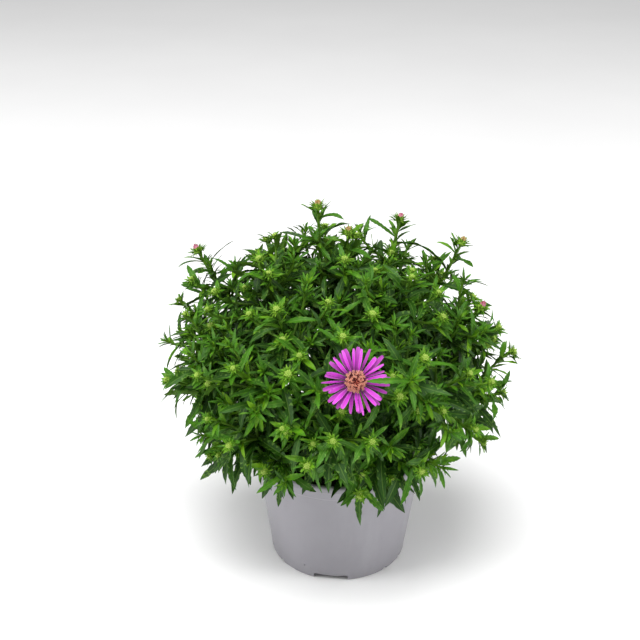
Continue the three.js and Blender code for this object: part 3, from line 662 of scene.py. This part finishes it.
# Leaves
# Narrow pointed blades that sit on a spiral round the shoot, short and pale at its tip and long and
# dark lower down. They are lightly toothed and folded along the rib, and each axil holds a small tuft.
LEAF_LENGTH = 31
LEAF_WIDTH = 0.8
LEAF_WIDTH_SHARE = 0.145
LEAF_THICKNESS = 0.26
YOUNG_LEAVES = 3.4
FIRST_LEAF_BACK = 3
LEAF_SPACING = 2.4
LEAF_SPACING_GROWTH = 0.28
FIRST_LEAF_ANGLE = 0.42
LEAF_ANGLE_STEP = 0.26
WIDEST_LEAF_ANGLE = 1.12
SIDE_STEPS = (0, 0.35, -0.35, 0.7, -0.7)
POT_CLEARANCE = 3
SHORT_LEAF = 17
TEETH = 5
TEETH_START = 0.24
TEETH_SHARE = 0.66
TOOTH_RISE = 0.34
LEAF_OUTLINE_AT = (0, 0.05, 0.16, 0.35, 0.55, 0.75, 0.9, 1)
LEAF_OUTLINE = (0.28, 0.38, 0.6, 0.88, 1.0, 0.84, 0.46, 0.04)
SMALL_STATIONS = [(0, 0), (0.16, 0), (0.36, 0), (0.55, 0.03), (0.76, 0), (0.91, 0), (1, 0)]
CROSSING_LEAF = {"length": 25, "width": 3.4, "arch": 0.8, "twist": 0.5, "fold": 0.3}
CROSSING_LEAF_RISE = 0.58
FIRST_TUFTED_LEAF = 2
AXIL_LEAVES = 2
LOW_LEAVES_BELOW = 135
LOW_LEAF_GROWTH = 1.2
OLD_LEAF_SPACING = 4
BARE_FOOT = 12
LEAF_DRAWS = 31
OLD_LEAF_DRAWS = 43


def leaf_stations():
    """Where the rows of points of a leaf lie along it, and how far its edge stands out there."""
    stations = [(0, 0), (0.08, 0), (0.17, 0)]
    for tooth in range(TEETH):
        start = TEETH_START + TEETH_SHARE * tooth / TEETH
        stations.append((start, -0.08))
        stations.append((start + TOOTH_RISE / TEETH, 0.15))
    return stations + [(0.94, 0), (1, 0)]


LARGE_GRID = (leaf_stations(), (-1, -0.5, 0, 0.5, 1))
SMALL_GRID = (SMALL_STATIONS, (-1, 0, 1))


class Growth:
    """The points, faces and painted values of one piece while it is being built."""

    def __init__(self):
        self.points = []
        self.faces = []
        self.count = 0
        self.values = {name: [] for name in ("along", "across", "age", "tint")}
        self.under = []
        self.kind = []

    def add(self, points, faces, kind, under=0, **values):
        self.points.append(np.asarray(points))
        self.faces.extend([[self.count + index for index in face] for face in faces])
        self.count += len(points)
        for name, row in self.values.items():
            row.append(np.broadcast_to(np.asarray(values.get(name, 0.0), float), len(points)))
        self.under.extend(under if isinstance(under, list) else [under] * len(faces))
        self.kind.extend([kind] * len(faces))

    def finish(self, name, materials):
        piece = piece_from(name, np.concatenate(self.points), self.faces)
        mesh = piece.data
        for value, rows in self.values.items():
            layer = mesh.attributes.new(value, "FLOAT", "POINT")
            layer.data.foreach_set("value", np.concatenate(rows).astype(np.float32))
        layer = mesh.attributes.new("under", "FLOAT", "FACE")
        layer.data.foreach_set("value", np.array(self.under, np.float32))
        for material in materials:
            mesh.materials.append(material)
        mesh.polygons.foreach_set("material_index", np.array(self.kind, np.int32))
        return piece


def new_blade(root, direction, over, **shape):
    """A blade that leaves its root in this direction and arches over towards the other."""
    return {"root": root, "direction": direction, "down": sideways(direction, over), **shape}


def blade_point(blade, along):
    """The point on the rib of an arching blade, at this share of its length."""
    turned_by = blade["arch"] * along
    reach = blade["length"] / blade["arch"]
    forward_by, down_by = reach * math.sin(turned_by), reach * (1 - math.cos(turned_by))
    return blade["root"] + forward_by * blade["direction"] + down_by * blade["down"]


def blade_points(blade, stations, columns, thickness):
    """Rows of points across a thin blade that arches over from its root, each with a keel below."""
    along, teeth = np.array(stations, float).T
    half = 0.5 * blade["width"] * np.interp(along, LEAF_OUTLINE_AT, blade.get("outline", LEAF_OUTLINE))
    side = np.cross(blade["direction"], blade["down"])
    bend = (blade["arch"] * along)[:, None]
    reach = blade["length"] / blade["arch"]
    middle = blade["root"] + reach * (np.sin(bend) * blade["direction"] + (1 - np.cos(bend)) * blade["down"])
    middle += blade.get("sway", 0) * blade["length"] * along[:, None] ** 2 * side
    above = np.sin(bend) * blade["direction"] - np.cos(bend) * blade["down"]
    roll = (blade.get("twist", 0) * along)[:, None]
    across = np.cos(roll) * side + np.sin(roll) * above
    above = np.cos(roll) * above - np.sin(roll) * side
    onward = np.cross(across, above)
    wave = blade.get("wave", 0) * np.sin(10 * along + blade.get("phase", 0))
    rows = []
    for column in columns:
        out = half * column * (1 + teeth * column**4)
        lift = half * (blade.get("fold", 0.2) * abs(column) + wave * column)
        notch = blade.get("notch", 0) * math.cos(3 * math.pi * column) * np.clip(8 * along - 7, 0, 1)
        rows.append(middle + out[:, None] * across + lift[:, None] * above - notch[:, None] * onward)
    keel = thickness * (1.3 - 0.9 * along)
    rows.append(middle - keel[:, None] * above)
    return np.stack(rows, axis=1).reshape(-1, 3)


def blade_faces(rows, columns):
    """Faces of those rows, and for each whether it is on the underside."""
    width = columns + 1
    faces, under = [], []
    for low in range(0, (rows - 1) * width, width):
        high = low + width
        for column in range(columns - 1):
            faces.append((low + column, high + column, high + column + 1, low + column + 1))
            under.append(0)
        faces.append((low + columns - 1, high + columns - 1, high + columns, low + columns))
        faces.append((low + columns, high + columns, high, low))
        under.extend((1, 1))
    last = (rows - 1) * width
    faces.append(tuple(range(columns + 1)))
    faces.append(tuple(range(last + columns, last - 1, -1)))
    under.extend((0, 0))
    return faces, under


def grow_blade(growth, blade, kind, age=0.0, tint=0.5, grid=None, thickness=LEAF_THICKNESS):
    stations, columns = grid or (SMALL_GRID if blade["length"] < SHORT_LEAF else LARGE_GRID)
    faces, under = blade_faces(len(stations), len(columns))
    along = np.repeat([station[0] for station in stations], len(columns) + 1)
    across = np.tile(list(columns) + [0], len(stations))
    points = blade_points(blade, stations, columns, thickness)
    growth.add(points, faces, kind, under, along=along, across=across, age=age, tint=tint)


def leaf_back(number):
    """How far below the end of its shoot a leaf grows. The leaves stand closest near the end."""
    return FIRST_LEAF_BACK + LEAF_SPACING * number + LEAF_SPACING_GROWTH * number**2


def leaf_at(shoot, back, **shape):
    """A leaf of this shape that grows this far below the end of its shoot."""
    t = 1 - back / shoot["length"]
    return {"root": curve_point(shoot["curve"], t), "along": curve_direction(shoot["curve"], t), **shape}


def leaves_of(shoot):
    """The leaves of a shoot from its tip down, as the solids have them."""
    draw = draws_from(shoot["seed"])
    start_turn = math.tau * next(draw)
    leaves = []
    number = 0
    while leaf_back(number) <= shoot["leafy"] - FIRST_LEAF_BACK:
        size = between(draw, 0.85, 1.15)
        lean = between(draw, -0.15, 0.15)
        swing = between(draw, -0.2, 0.2)
        grown = 1 - math.exp(-(number + 0.9) / YOUNG_LEAVES)
        leaves.append(leaf_at(
            shoot, leaf_back(number), number=number,
            angle=min(FIRST_LEAF_ANGLE + LEAF_ANGLE_STEP * number, WIDEST_LEAF_ANGLE) + lean,
            turn=start_turn + number * GOLDEN_ANGLE + swing,
            length=LEAF_LENGTH * grown * size, arch=between(draw, 0.3, 1.0)))
        number += 1
    return leaves


def aim_leaf(leaf, extra_turn=0.0):
    """Points a leaf away from its shoot, and lets it arch outward and down."""
    radial = around(leaf["along"], leaf["turn"] + extra_turn)
    leaf["direction"] = swung(leaf["along"], radial, leaf["angle"])
    leaf["down"] = sideways(leaf["direction"], -0.6 * leaf["along"] - 0.4 * UP)


def leaf_is_free(leaf):
    """Whether a leaf keeps clear of the pot's rim and of the space in front of the flower."""
    for along in (0.2, 0.4, 0.6, 0.8, 1):
        point = blade_point(leaf, along)
        is_over_pot = math.hypot(point[0], point[1]) < RIM_RADIUS + POT_CLEARANCE
        if (is_over_pot and point[2] < POT_HEIGHT + POT_CLEARANCE) or in_front_of_bloom(point):
            return False
    return True


def crossing_leaf(side):
    """The leaf that lies across the open flower, almost to its disc."""
    root = curve_point(side["curve"], 1 - 2 / side["length"])
    direction = unit(sideways(BLOOM_AXIS, BLOOM_CENTRE - root) + CROSSING_LEAF_RISE * BLOOM_AXIS)
    return new_blade(root, direction, -BLOOM_AXIS, **CROSSING_LEAF)


def shape_leaf(leaf, draw):
    """Gives a leaf its own width, twist, fold and waves."""
    leaf.update(
        width=(LEAF_WIDTH + LEAF_WIDTH_SHARE * leaf["length"]) * between(draw, 0.85, 1.15),
        twist=between(draw, -0.65, 0.65), fold=between(draw, 0.1, 0.6), wave=between(draw, 0, 0.45),
        phase=math.tau * next(draw), sway=between(draw, -0.15, 0.15))


STEM, LEAF, BRACT, GRAIN = range(4)


def grow_axil_tuft(growth, leaf, draw):
    for _ in range(AXIL_LEAVES):
        small = dict(leaf, turn=leaf["turn"] + between(draw, -0.8, 0.8), angle=between(draw, 0.3, 0.9),
                     length=between(draw, 6, 15), arch=between(draw, 0.3, 0.9))
        aim_leaf(small)
        shape_leaf(small, draw)
        if leaf_is_free(small):
            grow_blade(growth, small, LEAF, between(draw, 0.1, 0.5), next(draw), SMALL_GRID)


def grow_leaves(growth, shoot):
    """Each leaf at its first free side, with a tuft in the axil of all but the youngest."""
    draw = draws_from(shoot["seed"] + LEAF_DRAWS)
    is_inner = "is_inner" in shoot
    for leaf in leaves_of(shoot):
        if leaf["root"][2] < LOW_LEAVES_BELOW:
            leaf["length"] *= LOW_LEAF_GROWTH
        for step in SIDE_STEPS:
            aim_leaf(leaf, step)
            if leaf_is_free(leaf):
                shape_leaf(leaf, draw)
                # Leaves of the inner shoots are painted darker, with 0.5 more age, as painted shade inside
                # the bush.
                age = between(draw, 0.025, 0.275) + 0.16 * leaf["number"] + 0.5 * is_inner
                grid = SMALL_GRID if is_inner else None
                grow_blade(growth, leaf, LEAF, min(age, 1), next(draw), grid)
                break
        if leaf["number"] >= FIRST_TUFTED_LEAF and not is_inner:
            grow_axil_tuft(growth, leaf, draw)


def grow_old_leaves(growth, lead):
    """The long dark leaves low on a lead shoot, inside the bush."""
    draw = draws_from(lead["seed"] + OLD_LEAF_DRAWS)
    back = lead["leafy"]
    while back < lead["length"] - BARE_FOOT:
        leaf = leaf_at(
            lead, back, angle=between(draw, 0.8, 1.3), turn=back * GOLDEN_ANGLE / OLD_LEAF_SPACING,
            length=between(draw, 20, 32), arch=between(draw, 0.5, 1.2))
        aim_leaf(leaf)
        shape_leaf(leaf, draw)
        if leaf_is_free(leaf):
            grow_blade(growth, leaf, LEAF, 1, next(draw), SMALL_GRID)
        back += OLD_LEAF_SPACING


# Heads in bud
# Green knobs at the ends of the shoots, packed with shut florets and wrapped in rows of narrow
# bracts, the outer ones bent back. Small young leaves stand close round each of them.
HEAD_RADIUS = 2.2
HEAD_HEIGHT = 3.0
HEAD_SIDES = 10
OPEN_HEAD_SIZE = 1.35
HEAD_GRAINS = 16
GRAIN_RADIUS = 0.42
GRAIN_HEIGHT = 1.1
GRAIN_SIDES = 5
BRACT_ROWS = [
    {"count": 11, "lean": 1.3, "length": 3.6, "bend": 0.9, "height": -0.15},
    {"count": 10, "lean": 0.9, "length": 3.4, "bend": 0.5, "height": 0.3},
    {"count": 9, "lean": 0.5, "length": 3.0, "bend": 0.2, "height": 0.75}]
BRACT_THICKNESS = 0.18
BRACT_GRID = ([(0, 0), (0.3, 0), (0.6, 0), (0.85, 0), (1, 0)], (-1, 0, 1))
POINTED = (0.7, 0.85, 1.0, 0.95, 0.8, 0.55, 0.28, 0.02)
CROWN_LEAF_NARROWING = 0.72


def grow_knob(growth, base, axis, radius, height, sides, kind, **values):
    """A small closed knob, widest below its middle."""
    across, other = sides_of(axis)
    profile = [(0, -0.3 * height), (radius, 0.2 * height), (0.75 * radius, 0.8 * height), (0, height)]
    points, faces = turned(profile, sides)
    points = base + np.array(points) @ np.array([across, other, axis])
    growth.add(points, faces, kind, **values)


def grow_head(growth, shoot, draw, is_open):
    """A knob at the end of a shoot, its shut florets unless it is opening, and its rows of bracts."""
    tip, axis = shoot["tip"], shoot["direction"]
    size = OPEN_HEAD_SIZE if is_open else between(draw, 0.75, 1.15)
    grow_knob(growth, tip - 0.6 * size * axis, axis, HEAD_RADIUS * size, HEAD_HEIGHT * size, HEAD_SIDES,
              BRACT, along=0.3, tint=0.4)
    if not is_open:
        for k in range(HEAD_GRAINS):
            rank = math.sqrt((k + 0.5) / HEAD_GRAINS)
            radial = around(axis, k * GOLDEN_ANGLE)
            base = tip + size * (1.6 * rank * radial + (1.9 - 0.9 * rank**2) * axis)
            lean = unit(axis + 0.5 * rank * radial)
            grow_knob(growth, base, lean, GRAIN_RADIUS * size, GRAIN_HEIGHT * size, GRAIN_SIDES, GRAIN,
                      along=rank, tint=next(draw))
    for row in BRACT_ROWS:
        offset = math.tau * next(draw)
        for k in range(row["count"]):
            radial = around(axis, offset + math.tau * (k + between(draw, 0, 0.4)) / row["count"])
            direction = swung(axis, radial, row["lean"] * between(draw, 0.75, 1.25))
            bract = new_blade(
                tip + size * (1.3 * radial + row["height"] * axis), direction, radial - 0.2 * axis,
                length=size * row["length"] * between(draw, 0.75, 1.25), width=1.05 * size,
                arch=0.15 + row["bend"] * next(draw), fold=0.35, outline=POINTED)
            grow_blade(growth, bract, BRACT, 0.3, next(draw), BRACT_GRID, BRACT_THICKNESS)


def grow_crown(growth, shoot, draw, count, first_angle, angle_step, least, most):
    """Young leaves close round the end of a shoot."""
    axis = shoot["direction"]
    for k in range(count):
        radial = around(axis, k * GOLDEN_ANGLE + between(draw, 0, 0.4))
        direction = swung(axis, radial, first_angle + angle_step * k)
        young = new_blade(
            shoot["tip"] - (0.4 + 0.35 * k) * axis, direction, radial - 0.3 * UP,
            length=least + (most - least) * (k + next(draw)) / count, arch=between(draw, 0.2, 0.7))
        shape_leaf(young, draw)
        young["width"] *= CROWN_LEAF_NARROWING
        if leaf_is_free(young):
            grow_blade(growth, young, LEAF, 0.2 + 0.05 * k, next(draw), SMALL_GRID)


# Shoots put together
# Each lead shoot with all that grows on it is one living piece. Its skin is green throughout: woody
# and darker on the stem, fresh at the tips, and paler on the ribs, the veins and the undersides.
STEM_RADIUS = 1.6
LEAD_END_RADIUS = 0.9
SIDE_RADIUS = 0.95
SIDE_END_RADIUS = 0.7
ROOTED_DEPTH = 10
LEAF_SHINE = 0.22
TIP_DRAWS = 61


def green(name, old, middle, young, pale, roughness):
    skin = Finish(name)
    age = skin.attribute("age")
    along = skin.attribute("along")
    across = skin.math("ABSOLUTE", skin.attribute("across"))
    patch = skin.noise(220, detail=4)
    shade = skin.math("ADD", age, skin.spread(patch, 0.3, 0.7, -0.14, 0.14))
    shade = skin.math("ADD", shade, skin.spread(skin.attribute("tint"), 0, 1, -0.18, 0.18))
    tone = skin.ramp(shade, (0.0, young), (0.35, middle), (0.85, old))
    slant = skin.math("SUBTRACT", skin.math("MULTIPLY", along, 11), skin.math("MULTIPLY", across, 2.2))
    veins = skin.spread(skin.math("PINGPONG", slant, 0.5), 0.0, 0.09, 0.2, 0)
    rib = skin.spread(across, 0.03, 0.15, 0.42, 0)
    lines = skin.math("MAXIMUM", veins, rib)
    tone = skin.mix(lines, tone, pale)
    tone = skin.mix(skin.spread(skin.noise(1500, detail=2), 0.62, 0.75, 0, 0.25), tone, middle)
    tone = skin.mix(skin.math("MULTIPLY", skin.attribute("under"), 0.5), tone, pale)
    skin.paint("Base Color", tone)
    skin.paint("Roughness", skin.spread(patch, 0.3, 0.7, roughness - 0.08, roughness + 0.12))
    skin.paint("Specular IOR Level", LEAF_SHINE)
    skin.bump(skin.math("SUBTRACT", skin.noise(1900), lines), 0.4, 0.0003)
    return skin.material


STEM_GREENS = (srgb(58, 72, 20), srgb(66, 100, 18), srgb(94, 138, 26), srgb(94, 114, 44))
LEAF_GREENS = (srgb(28, 66, 3), srgb(60, 114, 8), srgb(108, 156, 18), srgb(108, 146, 56))
BRACT_GREENS = (srgb(58, 106, 14), srgb(86, 138, 24), srgb(126, 168, 42), srgb(138, 172, 64))
GRAIN_GREENS = (srgb(96, 136, 46), srgb(130, 166, 62), srgb(162, 188, 84), srgb(172, 192, 102))
shoot_skins = [
    green("stem_skin", *STEM_GREENS, 0.55),
    green("leaf_skin", *LEAF_GREENS, 0.48),
    green("bract_skin", *BRACT_GREENS, 0.55),
    green("grain_skin", *GRAIN_GREENS, 0.6),
]


def grow_stem(growth, curve, start_radius, end_radius, sides, rings, ages):
    """A round stem along a curve, thinner and younger towards its end."""
    across = sides_of(curve_direction(curve, 0))[0]
    points = []
    for t in np.linspace(0, 1, rings):
        along = curve_direction(curve, t)
        across = sideways(along, across)
        other = np.cross(along, across)
        radius = start_radius + (end_radius - start_radius) * t
        for k in range(sides):
            points.append(curve_point(curve, t) + radius * swung(across, other, math.tau * k / sides))
    faces = []
    for low in range(0, (rings - 1) * sides, sides):
        for k in range(sides):
            after = (k + 1) % sides
            faces.append((low + k, low + after, low + sides + after, low + sides + k))
    faces.append(tuple(range(sides - 1, -1, -1)))
    faces.append(tuple(range((rings - 1) * sides, rings * sides)))
    growth.add(points, faces, STEM, across=1, age=np.repeat(np.linspace(*ages, rings), sides), tint=0.5)


def grow_tip(growth, shoot):
    draw = draws_from(shoot["seed"] + TIP_DRAWS)
    if shoot["carries"] == "leaves":
        grow_crown(growth, shoot, draw, count=9, first_angle=0.12, angle_step=0.1, least=4, most=13)
    elif shoot["carries"] != "bloom":
        grow_head(growth, shoot, draw, is_open=shoot["carries"] != "bud")
        grow_crown(growth, shoot, draw, count=7, first_angle=0.6, angle_step=0.07, least=5, most=10)


def shoot_growth(lead):
    growth = Growth()
    rooted = [lead["curve"][0] - share * ROOTED_DEPTH * UP for share in (1, 0.6, 0.3, 0)]
    grow_stem(growth, rooted, STEM_RADIUS, STEM_RADIUS, sides=8, rings=3, ages=(1, 1))
    grow_stem(growth, lead["curve"], STEM_RADIUS, LEAD_END_RADIUS, sides=8, rings=24, ages=(1, 0.2))
    grow_tip(growth, lead)
    grow_leaves(growth, lead)
    grow_old_leaves(growth, lead)
    for side in lead["sides"]:
        grow_stem(growth, side["curve"], SIDE_RADIUS, SIDE_END_RADIUS, sides=6, rings=10, ages=(0.7, 0.1))
        grow_tip(growth, side)
        grow_leaves(growth, side)
        if "crosses_bloom" in side:
            grow_blade(growth, crossing_leaf(side), LEAF, 0.4, 0.5)
    return growth


for number, lead in enumerate(leads, 1):
    shoot = shoot_growth(lead).finish(f"shoot_{number:02d}", shoot_skins)
    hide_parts(f"stem_{number:02d}")
    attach(shoot, "root")

# Rays of the open flower
# Strap-shaped petals in two layers round the disc, thin and soft, blunt and nicked at the end, with
# grooves along them. They are magenta, paler towards the tips, and grow from the flower's cup, which has
# their own skin.
RAYS = 34
RAY_WIDTH = 2.5
RAY_THICKNESS = 0.25
RAY_START = 3.8
UPPER_RAY_SHARE = 0.93
DISC_RADIUS = 5.4
FLOWER_SIDES = 24
ONLY_SKIN = 0
STRAP = (0.3, 0.36, 0.5, 0.72, 0.9, 1.0, 0.95, 0.6)
RAY_STATIONS = [(t, 0) for t in (0, 0.1, 0.22, 0.34, 0.46, 0.58, 0.7, 0.8, 0.88, 0.94, 0.98, 1)]
RAY_GRID = (RAY_STATIONS, (-1, -0.66, -0.33, 0, 0.33, 0.66, 1))
RAY_DRAWS = 5
MORE_RAY_DRAWS = 77


def place_on_bloom(growth):
    """Moves what has grown from the flower's own frame, where it faces up, to its place."""
    spin = Vector((0, 0, 1)).rotation_difference(Vector(BLOOM_AXIS.tolist())).to_matrix()
    growth.points = [points @ np.array(spin).T + BLOOM_CENTRE for points in growth.points]
    return growth


def petal_skin(name, base, middle, tip, edge):
    skin = Finish(name, roughness=0.6, subsurface_weight=0.1, subsurface_scale=0.001)
    along = skin.attribute("along")
    across = skin.attribute("across")
    grooves = skin.math("PINGPONG", skin.math("MULTIPLY", across, 2.5), 0.5)
    fibre = skin.noise(1200)
    place = skin.math("ADD", along, skin.spread(skin.attribute("tint"), 0, 1, -0.2, 0.2))
    tone = skin.ramp(place, (0.05, base), (0.45, middle), (0.98, tip))
    tone = skin.mix(skin.spread(grooves, 0.0, 0.22, 0.5, 0), tone, base)
    # Paler edges: on the rays a painted highlight, on the tufts their own paler edges.
    rim = skin.math("ABSOLUTE", across)
    tone = skin.mix(skin.spread(rim, 0.7, 1, 0, 0.42), tone, edge)
    tone = skin.mix(skin.spread(fibre, 0.55, 0.75, 0, 0.25), tone, tip)
    # Painted shade: on the rays, the undersides and the lower layer (its shade carried in the age value) are
    # mixed towards the dark base colour. The tufts have a pale base, so there the undersides turn paler.
    shaded = skin.math("MAXIMUM", skin.attribute("under"), skin.attribute("age"))
    tone = skin.mix(skin.math("MULTIPLY", shaded, 0.6), tone, base)
    skin.paint("Base Color", tone)
    skin.bump(skin.math("ADD", grooves, skin.math("MULTIPLY", fibre, 0.4)), 0.35, 0.0003)
    return skin.material


def grow_ray(growth, i, draw, more):
    is_upper = i % 2
    turn = math.tau * (i + between(draw, -0.25, 0.25) + between(more, -0.35, 0.35)) / RAYS
    reach = BLOOM_RADIUS * (UPPER_RAY_SHARE if is_upper else 1) * between(draw, 0.9, 1)
    outward = unit(on_circle(1, turn, 0.2 if is_upper else 0.05))
    ray = new_blade(
        np.array([*RAY_START * outward[:2], 0.9 if is_upper else 0.4]), outward, -UP,
        length=(reach - RAY_START) * between(more, 0.9, 1.03), width=RAY_WIDTH * between(more, 0.6, 1.15),
        arch=between(draw, 0.2, 0.4), twist=between(more, -1, 1) ** 3, sway=between(more, -0.11, 0.11),
        fold=between(more, -0.245, 0.455), wave=between(more, 0, 0.25), phase=math.tau * next(more),
        notch=between(more, 0, 0.9), outline=STRAP)
    # Painted shade of the lower layer of rays, carried in the age value.
    age = 0 if is_upper else 0.7
    grow_blade(growth, ray, ONLY_SKIN, age, next(more), RAY_GRID, RAY_THICKNESS)


def rays_growth():
    draw = draws_from(SEED + RAY_DRAWS)
    more = draws_from(SEED + MORE_RAY_DRAWS)
    growth = Growth()
    base = [(0, -1), (4.0, -1), (DISC_RADIUS, 0.9), (0, 1.2)]
    growth.add(*turned(base, FLOWER_SIDES), ONLY_SKIN, along=0.1)
    for i in range(RAYS):
        grow_ray(growth, i, draw, more)
    return place_on_bloom(growth)


# The last colour is the pale edge, a painted highlight on the rays.
ray_skin = petal_skin("ray_skin", srgb(104, 6, 100), srgb(196, 30, 194), srgb(222, 82, 218),
                      srgb(232, 150, 232))
rays = rays_growth().finish("flower_rays", [ray_skin])
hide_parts("bloom_rays")
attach(rays, "root")

# Disc of the open flower
# A low button of tiny tubular florets in a spiral over a dark bed. Those in the middle are shut and
# salmon, and those near the edge stand open in five small tan lobes.
DISC_HEIGHT = 2.6
BED_RADIUS = DISC_RADIUS - 0.4
FLORETS = 115
FLORET_RADIUS = 0.36
FLORET_SIDES = 6
SHUT_WITHIN = 0.35
OPEN_SHARE = 0.6
LOBES = 5
LOBE_THICKNESS = 0.1
FLORET_DRAWS = 9


def grow_floret(growth, i, draw):
    rank = math.sqrt((i + 0.5) / FLORETS)
    height = 1.3 + (DISC_HEIGHT - 1) * math.sqrt(max(0, 1 - rank**2))
    base = on_circle(BED_RADIUS * rank, i * GOLDEN_ANGLE, height)
    axis = unit(np.array([base[0], base[1], 7.0]))
    tall = 1.3 + 0.8 * rank + 0.7 * next(draw)
    wide = FLORET_RADIUS * between(draw, 0.8, 1.2)
    tint = next(draw)
    grow_knob(growth, base, axis, wide, tall, FLORET_SIDES, ONLY_SKIN, along=rank, tint=tint)
    if rank < SHUT_WITHIN or tint > OPEN_SHARE:
        return
    for k in range(LOBES):
        radial = around(axis, math.tau * k / LOBES + 6 * tint)
        lobe = new_blade(base + 0.75 * tall * axis + 0.3 * wide * radial, unit(0.4 * axis + radial), -axis,
                         length=0.85, width=0.45, arch=0.7, outline=POINTED)
        grow_blade(growth, lobe, ONLY_SKIN, 1, tint, BRACT_GRID, LOBE_THICKNESS)


def disc_growth():
    draw = draws_from(SEED + FLORET_DRAWS)
    growth = Growth()
    bed = [(0, 1.2)] + arc(0, 1.3, BED_RADIUS, 0, 20, 3) + [(0, 3.0)]
    growth.add(*turned(bed, FLOWER_SIDES), ONLY_SKIN, along=0, tint=1)
    for i in range(FLORETS):
        grow_floret(growth, i, draw)
    return place_on_bloom(growth)


def disc_skin():
    skin = Finish("disc_skin", roughness=0.7)
    tint = skin.attribute("tint")
    tone = skin.ramp(skin.attribute("along"), (0.1, srgb(180, 84, 66)), (0.5, srgb(184, 88, 74)),
                     (0.95, srgb(150, 56, 78)))
    tone = skin.mix(skin.spread(tint, 0.62, 0.8, 0, 0.85), tone, srgb(74, 16, 32))
    tone = skin.mix(skin.spread(skin.attribute("age"), 0, 1, 0, 0.65), tone, srgb(216, 160, 132))
    tone = skin.mix(skin.spread(skin.noise(2400), 0.55, 0.7, 0, 0.4), tone, srgb(120, 52, 40))
    skin.paint("Base Color", tone)
    skin.bump(skin.noise(4000, detail=2), 0.3, 0.0001)
    return skin.material


disc = disc_growth().finish("flower_disc", [disc_skin()])
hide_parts("bloom_disc")
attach(disc, "root")

# Opening heads
# A few heads show a first tight tuft of petals above their green bracts: pink where they are about
# to open, and tan and papery where they have faded.
TUFT_RADIUS = 1.9
TUFT_HEIGHT = 2.2
TUFT_SIDES = 10
TUFT_PETALS = 17
TUFT_PETAL_THICKNESS = 0.2
TUFT_DRAWS = 91
PINK_TUFT = {"lean": 0.25, "length": 2.8, "bend": 0.7}
FADED_TUFT = {"lean": 0.45, "length": 2.4, "bend": 0.2}


def tuft_growth(lead):
    draw = draws_from(lead["seed"] + TUFT_DRAWS)
    growth = Growth()
    axis = lead["direction"]
    tuft = PINK_TUFT if lead["carries"] == "pink" else FADED_TUFT
    grow_knob(growth, lead["tip"] + 2.4 * axis, axis, TUFT_RADIUS, TUFT_HEIGHT, TUFT_SIDES, ONLY_SKIN,
              along=0.9, tint=0.2)
    for k in range(TUFT_PETALS):
        rank = math.sqrt((k + 0.5) / TUFT_PETALS)
        radial = around(axis, k * GOLDEN_ANGLE)
        direction = unit(axis + tuft["lean"] * rank * radial)
        petal = new_blade(
            lead["tip"] + 2.3 * axis + 1.6 * rank * radial, direction, -radial,
            length=tuft["length"] - 0.8 * rank + 0.9 * next(draw), width=1.2,
            arch=0.2 + tuft["bend"] * next(draw), fold=-0.5, twist=between(draw, -0.5, 0.5), outline=STRAP)
        grow_blade(growth, petal, ONLY_SKIN, 0, next(draw), SMALL_GRID, TUFT_PETAL_THICKNESS)
    return growth


tuft_skins = {
    "pink": petal_skin("pink_skin", srgb(206, 150, 160), srgb(194, 86, 122), srgb(150, 40, 80),
                       srgb(230, 184, 194)),
    "tan": petal_skin("faded_skin", srgb(176, 176, 100), srgb(196, 156, 104), srgb(160, 108, 72),
                      srgb(206, 190, 138)),
}
for lead in leads:
    if lead["carries"] in tuft_skins:
        tuft = tuft_growth(lead).finish(f"petals_{lead['name']}", [tuft_skins[lead["carries"]]])
        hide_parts(f"tuft_{lead['name']}")
        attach(tuft, "root")

# Floor and light
# The plant stands on a plain white floor. The light is that of a studio: a large soft panel overhead
# and in front, a weaker one on each side, and a little light from all round.
FLOOR_SIZE = 12
SKY_STRENGTH = 0.35
LIGHT_AIM = Vector((0, 0, 0.12))


def add_floor():
    half = FLOOR_SIZE / 2
    mesh = bpy.data.meshes.new("floor")
    corners = [(-half, -half, 0), (half, -half, 0), (half, half, 0), (-half, half, 0)]
    mesh.from_pydata(corners, [], [(0, 1, 2, 3)])
    floor = place_new("floor", mesh)
    paper = Finish("floor_paper", roughness=0.9)
    tone = paper.ramp(paper.noise(3), (0.3, srgb(246, 246, 246)), (0.7, srgb(250, 250, 250)))
    paper.paint("Base Color", tone)
    mesh.materials.append(paper.material)


def add_panel(name, place, size, power):
    """A square soft light that faces the plant."""
    light = bpy.data.lights.new(name, "AREA")
    light.shape = "SQUARE"
    light.size = size
    light.energy = power
    panel = place_new(name, light)
    panel.location = place
    panel.rotation_euler = (LIGHT_AIM - Vector(place)).to_track_quat("-Z", "Y").to_euler()


def add_sky():
    world = bpy.data.worlds.new("studio")
    world.use_nodes = True
    backdrop = world.node_tree.nodes["Background"]
    backdrop.inputs["Color"].default_value = (1, 1, 1, 1)
    backdrop.inputs["Strength"].default_value = SKY_STRENGTH
    bpy.context.scene.world = world


add_floor()
add_sky()
add_panel("overhead", place=(-0.2, -0.5, 1.9), size=1.2, power=40)
add_panel("left", place=(-1.7, -0.4, 0.8), size=0.8, power=17)
add_panel("right", place=(1.7, -0.4, 0.8), size=0.8, power=17)
bpy.context.scene.view_settings.view_transform = "Standard"
